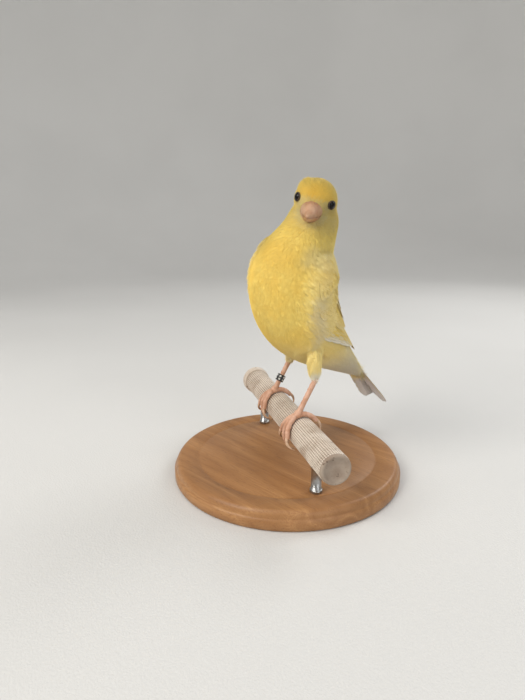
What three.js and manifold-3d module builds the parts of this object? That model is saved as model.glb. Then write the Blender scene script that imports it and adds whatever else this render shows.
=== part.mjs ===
// A yellow canary on a short length of perch, held by a plain display stand: life size, in millimetres, +Z up.
// The body faces -Y with its head turned to its own left (+X), and the tail hangs behind it.
// The origin is the middle of the stand's underside, straight below the perch between the two feet.
// Everything on the bird and the perch is set out from the "stance": the top of the perch between the feet.

import * as THREE from "three";
import { mergeVertices } from "three/addons/utils/BufferGeometryUtils.js";
import Module from "manifold-3d";

const wasm = await Module();
wasm.setup();

// Driving dimensions
const GAP = 0.3; // between any two pieces that touch
const DEG = Math.PI / 180;

const PERCH_RADIUS = 6;
const PERCH_HALF_LENGTH = 54;
const PERCH_TURN = -30.2 * DEG; // the perch against the line across the body
const PERCH_COLLAR_RADIUS = 6.9;
const PERCH_COLLAR_LENGTH = 4;
const PERCH_SIDES = 40;

const BASE_RADIUS = 50;
const BASE_THICK = 8;
const BASE_STEP = 3.5; // from the top down to where the rounded edge starts
const BASE_SIDES = 72;
const ROD_RADIUS = 2.5;
const ROD_HEIGHT = 12; // between the base and the perch, so that the tail clears the base
const ROD_PLACE = 36; // along the perch, to each side of the feet
const PERCH_TOP = BASE_THICK + ROD_HEIGHT + 2 * PERCH_RADIUS;

const STANCE_HALF = 16.1; // each foot's distance along the perch from the middle of the stance
const STANCE_SHIFT = 2.4; // of that middle along the perch, towards the bird's left
const STANCE_TURN = 0.2; // each foot's hub lies this far round the perch from its top
const TOE_RADIUS = 1.15;
const SHANK_RADIUS = 1.15;
const SHANK_LENGTH = 18;
const SHANK_LEAN = 31 * DEG; // backwards from upright
const SHANK_SWING = 17 * DEG; // of the lean's direction, towards the bird's left

const TORSO_SIDES = 32;
const TORSO_RINGS = 30;

// Sections of the trunk from the end of the tail coverts up to the middle of the head: the section's middle,
// its half-width, its depth from that middle to the back and to the front, how far its back side is turned
// up from level, and how far its left side is turned down, in degrees.
const TRUNK = [
  { at: [7.4, 43, 6.0], wide: 3.2, back: 1.7, front: 1.7, lean: 46, tilt: 0 },
  { at: [6.3, 34.8, 12.0], wide: 6.6, back: 4.4, front: 5.4, lean: 46, tilt: 0 },
  { at: [4.2, 24.4, 20.0], wide: 11.0, back: 7.6, front: 10.4, lean: 45, tilt: 0 },
  { at: [2.4, 15.0, 28.4], wide: 14.8, back: 10.8, front: 15.4, lean: 42, tilt: 0 },
  { at: [1.2, 7.4, 37.5], wide: 17.0, back: 13.8, front: 19.0, lean: 36, tilt: 2 },
  { at: [0.7, 2.4, 47], wide: 17.6, back: 16.0, front: 20.0, lean: 26, tilt: 6 },
  { at: [1.0, 1.2, 57], wide: 17.2, back: 17.4, front: 19.2, lean: 13, tilt: 10 },
  { at: [2.8, 2.8, 66], wide: 14.6, back: 15.0, front: 15.0, lean: 0, tilt: 14 },
  { at: [5.7, 5.0, 73.5], wide: 12.0, back: 12.6, front: 10.8, lean: -8, tilt: 15 },
  { at: [7.2, 6.9, 80], wide: 10.9, back: 10.6, front: 8.4, lean: -10, tilt: 14 },
  { at: [8.2, 7.6, 85.0], wide: 8.2, back: 8.0, front: 4.8, lean: -10, tilt: 14 },
];
const NECK_FROM = 0.675; // where the neck is parted from the torso, as a share of the trunk
const HEAD_FROM = 0.8;

const HEAD = {
  at: [8.6, 5.6, 85.0],
  turn: 30 * DEG, // to the bird's left
  nod: 11 * DEG, // downwards
  tilt: 14 * DEG, // its left side down
  wide: 9.3,
  fore: 9.0,
  aft: 9.8,
  crown: 9.5,
  throat: 8.8,
  narrowing: 0.3, // of the face towards the bill
};
const EYE = { forward: 4.3, up: 1.2, radius: 2.35, opening: 1.7, lid: 0.36 };
const BILL = { root: 4.5, base: 7.6, length: 8.2, up: -2.3, drop: -0.5, wide: 4.9, high: 4.9 };

const TAIL = {
  root: [6.7, 33.4, 16.4],
  tip: [4.6, 65.5, -13.2],
  pairs: 6,
  thick: 0.55,
  fork: 3.6, // how much longer the outer feathers are
  half: 2.7, // half of one feather's width
  spread: 5.6, // how far the outermost feather's middle lies from the tail's, at the tip
};

const WING = {
  bend: 0.725, // along the trunk
  tip: 0.14,
  leastWide: 7.0, // the folded wing keeps this radius over the narrowing rump
  leastBack: 6.2,
  // The lower edge, in degrees round from the back, from bend to tip: the right wing hangs a little lower.
  lowerLeft: [94, 107, 113, 117, 92, 52],
  lowerRight: [112, 118, 116, 114, 94, 54],
  upper: [66, 44, 26, 15, 10, 12],
  thick: 0.6,
  sink: 2.2, // of the bend and of the upper edge, so that they merge with the body
  roll: 0.15, // each feather's lower edge stands this much proud, for each mm across
};

const UP = new THREE.Vector3(0, 0, 1);
const LEFT = new THREE.Vector3(1, 0, 0);
const vector = (xyz) => new THREE.Vector3(...xyz);
const mix = (a, b, share) => a + (b - a) * share;

// Solids and meshes

// A solid from a three.js geometry. A geometry wound the wrong way is turned to face out.
function solidOf(geometry) {
  const bare = geometry.index ? geometry.clone() : mergeVertices(stripped(geometry), 1e-4);
  const merged = mergeVertices(stripped(bare), 1e-4);
  const triangles = new Uint32Array(merged.index.array);
  const make = () =>
    new wasm.Manifold(
      new wasm.Mesh({
        numProp: 3,
        vertProperties: new Float32Array(merged.attributes.position.array),
        triVerts: triangles,
      }),
    );
  const solid = make();
  if (solid.volume() >= 0) return solid;
  for (let i = 0; i < triangles.length; i += 3) {
    [triangles[i + 1], triangles[i + 2]] = [triangles[i + 2], triangles[i + 1]];
  }
  return make();
}

function stripped(geometry) {
  const bare = geometry.clone();
  for (const name of Object.keys(bare.attributes)) {
    if (name !== "position") bare.deleteAttribute(name);
  }
  return bare;
}

function geometryOf(solid) {
  const mesh = solid.getMesh();
  const geometry = new THREE.BufferGeometry();
  const places = new Float32Array(mesh.numVert * 3);
  for (let i = 0; i < mesh.numVert; i++) {
    places.set(mesh.vertProperties.subarray(i * mesh.numProp, i * mesh.numProp + 3), i * 3);
  }
  geometry.setAttribute("position", new THREE.BufferAttribute(places, 3));
  geometry.setIndex(new THREE.BufferAttribute(new Uint32Array(mesh.triVerts), 1));
  geometry.computeVertexNormals();
  return geometry;
}

// The largest closed surface of a solid, without the scraps that a cut leaves.
function largest(solid) {
  const pieces = solid.decompose();
  return pieces.reduce((best, piece) => (piece.volume() > best.volume() ? piece : best));
}

const joined = (solids) => wasm.Manifold.union(solids);

// A closed body through rings of equal count, with a pole at each end.
function loft(rings, firstPole, lastPole) {
  const sides = rings[0].length;
  const places = [];
  for (const ring of rings) for (const p of ring) places.push(p.x, p.y, p.z);
  places.push(firstPole.x, firstPole.y, firstPole.z, lastPole.x, lastPole.y, lastPole.z);
  const first = rings.length * sides;
  const faces = [];
  for (let r = 0; r + 1 < rings.length; r++) {
    for (let s = 0; s < sides; s++) {
      const a = r * sides + s;
      const b = r * sides + ((s + 1) % sides);
      faces.push(a, b, b + sides, a, b + sides, a + sides);
    }
  }
  const top = (rings.length - 1) * sides;
  for (let s = 0; s < sides; s++) {
    const next = (s + 1) % sides;
    faces.push(first, next, s, first + 1, top + s, top + next);
  }
  const geometry = new THREE.BufferGeometry();
  geometry.setAttribute("position", new THREE.Float32BufferAttribute(places, 3));
  geometry.setIndex(faces);
  return solidOf(geometry);
}

// A round limb along a list of points, with a radius at each and a pole just past each end.
function limb(points, radii, sides) {
  const curve = new THREE.CatmullRomCurve3(points);
  const frames = points.map((p, i) => {
    const tangent = curve.getTangent(i / (points.length - 1));
    const side = new THREE.Vector3().crossVectors(tangent, Math.abs(tangent.z) > 0.9 ? LEFT : UP).normalize();
    return { tangent, side, up: new THREE.Vector3().crossVectors(side, tangent).normalize() };
  });
  const rings = points.map((p, i) => ringRound(p, frames[i].side, frames[i].up, radii[i], radii[i], sides));
  const last = points.length - 1;
  return loft(
    rings,
    points[0].clone().addScaledVector(frames[0].tangent, -0.4 * radii[0]),
    points[last].clone().addScaledVector(frames[last].tangent, 0.4 * radii[last]),
  );
}

function ringRound(middle, side, up, wide, high, sides) {
  return Array.from({ length: sides }, (_, k) => {
    const turn = (2 * Math.PI * k) / sides;
    return middle
      .clone()
      .addScaledVector(side, wide * Math.sin(turn))
      .addScaledVector(up, high * Math.cos(turn));
  });
}

// A feather's vane: a thin closed plate, its outline narrow at the root and rounded at the tip.
// place(u, sideways, height) gives the point at share u of its length, and half is half its width.
const VANE_OUTLINE = [
  [0, 0.74],
  [0.45, 1],
  [0.84, 0.84],
  [1, 0.34],
];

function vane(place, half, thick, columns = 1) {
  const places = [];
  for (const height of [0, -thick]) {
    for (const [u, share] of VANE_OUTLINE) {
      for (let k = 0; k <= columns; k++) {
        const v = (2 * k) / columns - 1;
        places.push(...place(u, v * half * share, height + 0.16 * half * share * (1 - v * v)).toArray());
      }
    }
  }
  const row = columns + 1;
  const count = VANE_OUTLINE.length * row;
  const faces = [];
  const quad = (a, b, c, d) => faces.push(a, b, c, a, c, d);
  for (let r = 0; r + 1 < VANE_OUTLINE.length; r++) {
    for (let k = 0; k < columns; k++) {
      const a = row * r + k;
      quad(a, a + 1, a + row + 1, a + row);
      // The lower face is split along the same diagonals as the upper one.
      faces.push(count + a, count + a + row + 1, count + a + 1, count + a, count + a + row, count + a + row + 1);
    }
    const a = row * r;
    quad(a, a + row, count + a + row, count + a);
    quad(a + row + columns, a + columns, count + a + columns, count + a + row + columns);
  }
  const end = count - row;
  for (let k = 0; k < columns; k++) {
    quad(k + 1, k, count + k, count + k + 1);
    quad(end + k, end + k + 1, count + end + k + 1, count + end + k);
  }
  const geometry = new THREE.BufferGeometry();
  geometry.setAttribute("position", new THREE.Float32BufferAttribute(places, 3));
  geometry.setIndex(faces);
  return solidOf(geometry);
}

// Trunk

const trunkLine = new THREE.CatmullRomCurve3(TRUNK.map((s) => vector(s.at)), false, "catmullrom");
const trunkSize = new THREE.CatmullRomCurve3(
  TRUNK.map((s) => new THREE.Vector3(s.wide, s.back, s.front)),
  false,
  "catmullrom",
);

const trunkTurn = new THREE.CatmullRomCurve3(
  TRUNK.map((s, k) => new THREE.Vector3(k, s.lean * DEG, s.tilt * DEG)),
  false,
  "catmullrom",
);

// The trunk's section at a share of its length: its middle, its directions and its sizes.
function trunkAt(share) {
  const { y: lean, z: tilt } = trunkTurn.getPoint(share);
  const size = trunkSize.getPoint(share);
  const left = new THREE.Vector3(Math.cos(tilt), 0, -Math.sin(tilt));
  const along = left.clone().cross(new THREE.Vector3(0, Math.cos(lean), Math.sin(lean))).normalize();
  const dorsal = along.clone().cross(left);
  return { middle: trunkLine.getPoint(share), along, left, dorsal, wide: size.x, back: size.y, front: size.z };
}

// A ring of the trunk, with turn 0 at the back and a quarter turn at the bird's left.
function trunkRing(share, extra) {
  const s = trunkAt(share);
  return Array.from({ length: TORSO_SIDES }, (_, k) => {
    const turn = (2 * Math.PI * k) / TORSO_SIDES;
    const depth = Math.cos(turn) > 0 ? s.back : s.front;
    return s.middle
      .clone()
      .addScaledVector(s.left, (s.wide + extra) * Math.sin(turn))
      .addScaledVector(s.dorsal, (depth + extra) * Math.cos(turn));
  });
}

function trunk(extra) {
  const rings = Array.from({ length: TORSO_RINGS + 1 }, (_, k) => trunkRing(k / TORSO_RINGS, extra));
  const tail = trunkAt(0);
  const top = trunkAt(1);
  return loft(
    rings,
    tail.middle.clone().addScaledVector(tail.along, -0.5 - extra),
    top.middle.clone().addScaledVector(top.along, 2),
  );
}

// Head

const headAxes = (() => {
  const turn = new THREE.Quaternion().setFromAxisAngle(UP, HEAD.turn);
  const nod = new THREE.Quaternion().setFromAxisAngle(LEFT, HEAD.nod);
  const tilt = new THREE.Quaternion().setFromAxisAngle(new THREE.Vector3(0, 1, 0), HEAD.tilt);
  const q = turn.multiply(nod).multiply(tilt);
  return {
    forward: new THREE.Vector3(0, -1, 0).applyQuaternion(q),
    left: LEFT.clone().applyQuaternion(q),
    up: UP.clone().applyQuaternion(q),
  };
})();

// A point set out from the middle of the head: forwards, to its left and up.
function onHead(forward, left, up) {
  return vector(HEAD.at)
    .addScaledVector(headAxes.forward, forward)
    .addScaledVector(headAxes.left, left)
    .addScaledVector(headAxes.up, up);
}

// A point on the head's surface from a unit direction (forward, left, up), moved out by extra.
function headPoint(f, l, u, extra) {
  const face = Math.max(0, f) ** 1.2;
  return onHead(
    f * ((f > 0 ? HEAD.fore : HEAD.aft) + extra),
    l * (HEAD.wide * (1 - HEAD.narrowing * face) + extra),
    u * ((u > 0 ? HEAD.crown : HEAD.throat) + extra) - 0.9 * face,
  );
}

function headBall(extra) {
  const ball = new THREE.SphereGeometry(1, 26, 18);
  const places = ball.attributes.position;
  for (let i = 0; i < places.count; i++) {
    const p = headPoint(places.getX(i), places.getY(i), places.getZ(i), extra);
    places.setXYZ(i, p.x, p.y, p.z);
  }
  return solidOf(stripped(ball));
}

function ballAt(middle, radius, columns, rows) {
  return solidOf(stripped(new THREE.SphereGeometry(radius, columns, rows).translate(middle.x, middle.y, middle.z)));
}

// Where an eye meets the head's surface, and the way it faces.
function eyeSeat(side) {
  const f = EYE.forward / HEAD.fore;
  const u = EYE.up / HEAD.crown;
  const on = (df, du) => {
    const l = Math.sqrt(1 - (f + df) ** 2 - (u + du) ** 2);
    return headPoint(f + df, side * l, u + du, 0);
  };
  const place = on(0, 0);
  const facing = new THREE.Vector3().crossVectors(on(0.05, 0).sub(on(-0.05, 0)), on(0, 0.05).sub(on(0, -0.05)));
  facing.normalize().multiplyScalar(Math.sign(facing.dot(headAxes.left)) * side);
  return { place, facing };
}

const EYE_DEPTH = Math.sqrt(EYE.radius ** 2 - EYE.opening ** 2);
const eyeMiddle = (side) => eyeSeat(side).place.addScaledVector(eyeSeat(side).facing, -EYE_DEPTH);

// The raised rim of the lids round one eye.
function lids(side) {
  const { place, facing } = eyeSeat(side);
  const ring = new THREE.TorusGeometry(EYE.opening + 0.3, EYE.lid, 5, 15);
  ring.applyQuaternion(new THREE.Quaternion().setFromUnitVectors(UP, facing));
  return solidOf(stripped(ring.translate(place.x, place.y, place.z)));
}

// Bill: one curved cone, parted along the mouth

function billCone() {
  const rows = 9;
  const sides = 16;
  const rings = Array.from({ length: rows }, (_, k) => {
    const u = k / (rows - 1);
    const full = Math.sqrt(Math.max(0, 1 - u * u)) * 0.55 + (1 - u) * 0.45;
    const forward = mix(BILL.root, BILL.base + BILL.length, u);
    const middle = onHead(forward, 0, BILL.up + BILL.drop * u * u - 0.5);
    const wide = BILL.wide * Math.max(full, 0.06);
    const high = BILL.high * Math.max(full, 0.06);
    return ringRound(middle, headAxes.left, headAxes.up, wide, high, sides);
  });
  return loft(rings, onHead(BILL.root - 0.5, 0, BILL.up), onHead(BILL.base + BILL.length + 0.25, 0, BILL.up + BILL.drop - 0.5));
}

// The plane of the mouth, which runs from the corners of the gape to the tip.
const mouthTip = onHead(BILL.base + BILL.length, 0, BILL.up + BILL.drop - 0.8);
const mouthNormal = headAxes.left.clone().cross(mouthTip.clone().sub(onHead(BILL.base, 0, BILL.up - 1.2))).normalize();
const mouthOffset = mouthNormal.dot(mouthTip);

// Legs and feet

const perchAlong = new THREE.Vector3(Math.cos(PERCH_TURN), Math.sin(PERCH_TURN), 0);
const perchFront = new THREE.Vector3(Math.sin(PERCH_TURN), -Math.cos(PERCH_TURN), 0);

// A point round the perch: distance along it, turn from its top towards the bird's front, distance from its axis.
function onPerch(along, turn, radius) {
  return new THREE.Vector3(0, 0, -PERCH_RADIUS)
    .addScaledVector(perchAlong, along)
    .addScaledVector(perchFront, radius * Math.sin(turn))
    .addScaledVector(UP, radius * Math.cos(turn));
}

// Each toe: its length, how far it splays along the perch for each mm it runs, and its claw's length.
const TOES = {
  inner: { length: 10.5, splay: -0.34, claw: 5.2, way: 1 },
  middle: { length: 14.5, splay: 0.04, claw: 5.6, way: 1 },
  outer: { length: 11, splay: 0.42, claw: 5.0, way: 1 },
  hind: { length: 9, splay: 0.05, claw: 6.6, way: -1 },
};

const stand = (side) => STANCE_SHIFT + side * STANCE_HALF;

function toe(side, shape) {
  const radius = PERCH_RADIUS + GAP + TOE_RADIUS;
  const steps = 6;
  const points = [];
  const radii = [];
  for (let k = 0; k <= steps; k++) {
    const run = (shape.length * k) / steps;
    const knuckle = k % 2 ? -0.08 : 0.08;
    const turn = STANCE_TURN + (shape.way * run) / radius;
    points.push(onPerch(stand(side) + shape.splay * run, turn, radius + knuckle));
    radii.push(TOE_RADIUS * (1 - 0.2 * (k / steps)) + knuckle);
  }
  return limb(points, radii, 7);
}

function claw(side, shape) {
  const radius = PERCH_RADIUS + GAP + TOE_RADIUS;
  const steps = 4;
  const points = [];
  const radii = [];
  for (let k = 0; k <= steps; k++) {
    const share = k / steps;
    const run = shape.length - 1 + (shape.claw + 1) * share;
    const out = radius + 0.9 * Math.sin(share * Math.PI) - 0.45 * share;
    points.push(onPerch(stand(side) + shape.splay * run, STANCE_TURN + (shape.way * run) / radius, out));
    radii.push(mix(0.8, 0.25, share));
  }
  return limb(points, radii, 5);
}

const footHub = (side) => onPerch(stand(side), STANCE_TURN, PERCH_RADIUS + GAP + TOE_RADIUS + 0.3);

const shankDirection = new THREE.Vector3(
  Math.sin(SHANK_LEAN) * Math.sin(SHANK_SWING),
  Math.sin(SHANK_LEAN) * Math.cos(SHANK_SWING),
  Math.cos(SHANK_LEAN),
);
const onShank = (side, share) => footHub(side).addScaledVector(shankDirection, SHANK_LENGTH * share);

function foot(side) {
  const pieces = [ballAt(footHub(side), 1.75, 10, 7)];
  for (const shape of Object.values(TOES)) {
    pieces.push(toe(side, { ...shape, splay: side * shape.splay }), claw(side, { ...shape, splay: side * shape.splay }));
  }
  pieces.push(limb([onShank(side, 0), onShank(side, 0.12)], [1.6, 1.25], 10));
  return joined(pieces);
}

const shankRadii = [1.3, 1.15, 1.12, 1.15, 1.25, 1.4];
function shank(side, extra) {
  const count = shankRadii.length;
  const points = shankRadii.map((_, k) => onShank(side, mix(0.02, 0.95, k / (count - 1))));
  return limb(points, shankRadii.map((r) => r + extra), 10);
}

// The feathered thigh, from inside the flank down to the heel.
const hip = (side) => new THREE.Vector3(2 + side * 8.5, side > 0 ? 6 : 13, 27);
function thigh(side, extra) {
  const heel = onShank(side, 0.87);
  const shapes = [
    [0, 6.8],
    [0.25, 6.2],
    [0.5, 4.9],
    [0.75, 3.5],
    [0.92, 2.7],
    [1, 2.2],
  ];
  const points = shapes.map(([share]) => {
    const p = hip(side).lerp(heel, share);
    return p.addScaledVector(new THREE.Vector3(0, -1, 0.3), 1.6 * Math.sin(Math.PI * share));
  });
  return limb(points, shapes.map(([, r]) => r + extra), 14);
}

function legBand() {
  const outer = 1.95;
  const inner = SHANK_RADIUS + GAP + 0.05;
  const half = 1.6;
  const profile = [
    [inner, -half],
    [outer, -half],
    [outer, half],
    [inner, half],
    [inner, -half],
  ].map(([x, y]) => new THREE.Vector2(x, y));
  const band = new THREE.LatheGeometry(profile, 24);
  band.applyQuaternion(new THREE.Quaternion().setFromUnitVectors(new THREE.Vector3(0, 1, 0), shankDirection));
  const place = onShank(-1, 0.33);
  return solidOf(stripped(band.translate(place.x, place.y, place.z)));
}

// Tail

const tailAxes = (() => {
  const along = vector(TAIL.tip).sub(vector(TAIL.root)).normalize();
  const left = LEFT.clone().addScaledVector(along, -LEFT.dot(along)).normalize();
  return { along, left, up: new THREE.Vector3().crossVectors(left, along).normalize() };
})();

function tailFeather(side, order) {
  const share = order / (TAIL.pairs - 1);
  const length = vector(TAIL.tip).distanceTo(vector(TAIL.root)) - TAIL.fork * (1 - share);
  const rootAside = side * (0.5 + 1.6 * share);
  const tipAside = side * mix(1.1, TAIL.spread, share);
  const rise = 0.6 - 1.6 * share;
  const place = (u, sideways, height) =>
    vector(TAIL.root)
      .addScaledVector(tailAxes.along, length * u)
      .addScaledVector(tailAxes.left, mix(rootAside, tipAside, u) + sideways)
      .addScaledVector(tailAxes.up, rise + height - 0.05 * side * sideways + 1.2 * u * (1 - u));
  return vane(place, TAIL.half, TAIL.thick);
}

function tail() {
  const feathers = [];
  for (const side of [-1, 1]) {
    for (let order = 0; order < TAIL.pairs; order++) feathers.push(tailFeather(side, order));
  }
  const root = limb(
    [0, 0.15, 0.4].map((u) => vector(TAIL.root).lerp(vector(TAIL.tip), u).addScaledVector(tailAxes.up, -0.6)),
    [2.2, 2.2, 0.7],
    12,
  );
  return joined([...feathers, root]);
}

// Wings

// A number along a list of even steps.
function along(list, share) {
  const place = Math.min(Math.max(share, 0), 1) * (list.length - 1);
  const step = Math.min(Math.floor(place), list.length - 2);
  return mix(list[step], list[step + 1], place - step);
}

// How far an edge is sunk: 1 at the edge, easing to 0.
const sunk = (share) => (1 - Math.min(1, Math.max(0, share))) ** 2;

// A point over the folded wing: run from the bend (0) to the longest feather's tip (1), across from the lower
// edge (0) to the upper edge (1), then sideways towards the back in mm, and the height over the body.
function onWing(side, run, across, sideways, height) {
  const s = trunkAt(Math.max(0.002, mix(WING.bend, WING.tip, run)));
  const wide = Math.max(s.wide, WING.leastWide);
  const lower = along(side > 0 ? WING.lowerLeft : WING.lowerRight, run) * DEG;
  const upper = along(WING.upper, run) * DEG;
  let turn = mix(lower, upper, across);
  const depthOf = (a) => (Math.cos(a) > 0 ? Math.max(s.back, WING.leastBack) : s.front);
  const radius = Math.hypot(wide * Math.sin(turn), depthOf(turn) * Math.cos(turn));
  turn -= sideways / radius;
  const depth = depthOf(turn);
  const out = new THREE.Vector3()
    .addScaledVector(s.left, (side * Math.sin(turn)) / wide)
    .addScaledVector(s.dorsal, Math.cos(turn) / depth)
    .normalize();
  return s.middle
    .clone()
    .addScaledVector(s.left, side * wide * Math.sin(turn))
    .addScaledVector(s.dorsal, depth * Math.cos(turn))
    .addScaledVector(out, height - WING.sink * (sunk(run / 0.1) + sunk((1 - across) / 0.12) * (1 - run)));
}

// The tiers of the folded wing from the body outwards. Each lists its count, then at its first and last
// feather the place of the root and tip (run, across), the height at root and tip, and half a feather's width.
const TIERS = [
  { count: 6, root: [0.42, 0.1, 0.42, 0.5], tip: [0.84, 0.12, 1, 0.5], high: [1.0, 1.1], half: [2.3, 2.3] },
  { count: 5, root: [0.34, 0.3, 0.34, 0.66], tip: [0.66, 0.4, 0.74, 0.74], high: [1.4, 1.6], half: [2.5, 2.7] },
  { count: 3, root: [0.3, 0.6, 0.26, 0.84], tip: [0.64, 0.66, 0.54, 0.88], high: [1.8, 2.1], half: [2.9, 3.1] },
  { count: 5, root: [0.24, 0.1, 0.2, 0.82], tip: [0.46, 0.12, 0.4, 0.84], high: [1.9, 2.3], half: [3.2, 3.5] },
  { count: 5, root: [0.08, 0.12, 0.06, 0.78], tip: [0.29, 0.14, 0.25, 0.84], high: [2.0, 2.8], half: [3.3, 3.6] },
];

function wing(side) {
  const pieces = [wingCore(side)];
  for (const tier of TIERS) {
    for (let k = 0; k < tier.count; k++) {
      const share = k / (tier.count - 1);
      const root = [mix(tier.root[0], tier.root[2], share), mix(tier.root[1], tier.root[3], share)];
      const tip = [mix(tier.tip[0], tier.tip[2], share), mix(tier.tip[1], tier.tip[3], share)];
      const place = (u, sideways, height) => {
        const high = mix(tier.high[0], tier.high[1], u) + height - WING.roll * sideways;
        return onWing(side, mix(root[0], tip[0], u), mix(root[1], tip[1], u), sideways, high);
      };
      pieces.push(vane(place, mix(tier.half[0], tier.half[1], share), WING.thick));
    }
  }
  return joined(pieces);
}

// The arm under the feathers: a low mound, fullest behind the bend, that thins out half way along the wing.
function wingCore(side) {
  const stations = [
    [0.01, 0.5, 1.0],
    [0.05, 0.8, 1.9],
    [0.18, 1, 2.1],
    [0.42, 0.94, 1.3],
    [0.64, 0.8, 0.8],
    [0.84, 0.6, 0.6],
  ];
  const columns = 5;
  const rings = stations.map(([run, full, high]) => {
    const place = (k, up) => onWing(side, run, mix(0.5 - 0.48 * full, 0.5 + 0.46 * full, k / columns), 0, up);
    const top = Array.from({ length: columns + 1 }, (_, k) => {
      return place(k, high * Math.sqrt(Math.sin(Math.PI * mix(0.1, 0.9, k / columns))));
    });
    const under = Array.from({ length: columns + 1 }, (_, k) => place(columns - k, -0.8));
    return [...top, ...under];
  });
  const middle = (ring) => ring.reduce((sum, p) => sum.add(p), new THREE.Vector3()).divideScalar(ring.length);
  return loft(rings, middle(rings[0]), middle(rings[rings.length - 1]));
}

// Perch and stand

function bar(radius, from, to, sides) {
  const cylinder = new THREE.CylinderGeometry(radius, radius, to - from, sides);
  cylinder.translate(0, (from + to) / 2, 0);
  cylinder.applyQuaternion(new THREE.Quaternion().setFromUnitVectors(new THREE.Vector3(0, 1, 0), perchAlong));
  return solidOf(stripped(cylinder.translate(0, 0, -PERCH_RADIUS)));
}

function standBase() {
  const profile = [
    [0, 0],
    [BASE_RADIUS, 0],
    [BASE_RADIUS, BASE_THICK - BASE_STEP],
    [BASE_RADIUS - 0.7, BASE_THICK - BASE_STEP + 0.5],
    [BASE_RADIUS - 1.3, BASE_THICK - 1.0],
    [BASE_RADIUS - 2.9, BASE_THICK],
    [0, BASE_THICK],
  ].map(([x, y]) => new THREE.Vector2(x, y));
  const disc = new THREE.LatheGeometry(profile, BASE_SIDES).rotateX(Math.PI / 2);
  return solidOf(stripped(disc.translate(0, 0, -PERCH_TOP)));
}

function standRod(way) {
  const low = BASE_THICK + GAP - PERCH_TOP;
  const rod = new THREE.CylinderGeometry(ROD_RADIUS, ROD_RADIUS, -PERCH_RADIUS - low, 24);
  rod.rotateX(Math.PI / 2).translate(0, 0, (low - PERCH_RADIUS) / 2);
  const place = perchAlong.clone().multiplyScalar(way * ROD_PLACE);
  return solidOf(stripped(rod.translate(place.x, place.y, 0))).subtract(
    bar(PERCH_RADIUS + GAP, -PERCH_HALF_LENGTH, PERCH_HALF_LENGTH, PERCH_SIDES),
  );
}

// The whole bird, parted into its nodes

const body = joined([trunk(0), headBall(0)]);
const bodyWithGap = joined([trunk(GAP), headBall(GAP)]);

function cutAcross(share) {
  const s = trunkAt(share);
  return { normal: s.along.toArray(), offset: s.along.dot(s.middle) };
}
const flipped = (cut) => ({ normal: cut.normal.map((x) => -x), offset: -cut.offset });
const above = (solid, cut) => solid.trimByPlane(cut.normal, cut.offset + GAP / 2);
const below = (solid, cut) => {
  const turned = flipped(cut);
  return solid.trimByPlane(turned.normal, turned.offset + GAP / 2);
};
const neckCut = cutAcross(NECK_FROM);
const headCut = cutAcross(HEAD_FROM);

const sockets = joined([1, -1].map((side) => ballAt(eyeMiddle(side), EYE.radius + GAP, 16, 12)));
const nostrils = joined([1, -1].map((side) => ballAt(onHead(BILL.base + 1.5, side * 1.35, BILL.up + 2.9), 0.5, 10, 6)));
const bill = billCone().subtract(bodyWithGap).subtract(nostrils);
const mouth = { normal: mouthNormal.toArray(), offset: mouthOffset };

const head = above(body, headCut).add(joined([lids(1), lids(-1)])).subtract(sockets);

const solids = {
  torso: below(body, neckCut),
  neck: below(above(body, neckCut), headCut),
  head,
  bill_upper: above(bill, mouth),
  bill_lower: below(bill, mouth),
  eye_left: ballAt(eyeMiddle(1), EYE.radius, 14, 10),
  eye_right: ballAt(eyeMiddle(-1), EYE.radius, 14, 10),
  tail: tail().subtract(bodyWithGap),
  leg_band: legBand(),
  perch: bar(PERCH_RADIUS, PERCH_COLLAR_LENGTH - PERCH_HALF_LENGTH + GAP, PERCH_HALF_LENGTH, PERCH_SIDES),
  perch_collar: bar(PERCH_COLLAR_RADIUS, -PERCH_HALF_LENGTH, PERCH_COLLAR_LENGTH - PERCH_HALF_LENGTH, PERCH_SIDES),
  stand_base: standBase(),
  stand_rod_far: standRod(-1),
  stand_rod_near: standRod(1),
};
for (const [name, side] of [
  ["left", 1],
  ["right", -1],
]) {
  const footSolid = foot(side);
  const heelCut = { normal: shankDirection.toArray(), offset: shankDirection.dot(onShank(side, 0.12)) };
  solids[`wing_${name}`] = wing(side).subtract(bodyWithGap).subtract(thigh(side, GAP));
  solids[`thigh_${name}`] = thigh(side, 0).subtract(bodyWithGap).subtract(shank(side, GAP));
  solids[`shank_${name}`] = above(shank(side, 0), heelCut);
  solids[`foot_${name}`] = below(footSolid, heelCut);
}

const YELLOW = 0xe9cf55;
const FINISH = {
  head: [0xe8c840, 0.9],
  tail: [0xddd6b4, 0.85],
  bill_upper: [0xe3b19c, 0.5],
  bill_lower: [0xe3b19c, 0.5],
  eye_left: [0x0a0706, 0.1],
  eye_right: [0x0a0706, 0.1],
  leg_band: [0x15161a, 0.4],
  perch: [0xcbbfae, 0.7],
  perch_collar: [0xb8aa9c, 0.7],
  stand_base: [0x9a7a55, 0.55],
  stand_rod_far: [0xb5b5b2, 0.35],
  stand_rod_near: [0xb5b5b2, 0.35],
  shank_left: [0xe3a07c, 0.6],
  shank_right: [0xe3a07c, 0.6],
  foot_left: [0xe3a07c, 0.6],
  foot_right: [0xe3a07c, 0.6],
};

const canary = new THREE.Group();
canary.position.z = PERCH_TOP;
for (const [name, solid] of Object.entries(solids)) {
  const [color, roughness] = FINISH[name] ?? [YELLOW, 0.9];
  const material = new THREE.MeshStandardMaterial({ color, roughness, metalness: 0 });
  const mesh = new THREE.Mesh(geometryOf(largest(solid)), material);
  mesh.name = name;
  canary.add(mesh);
}

export default canary;
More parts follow.
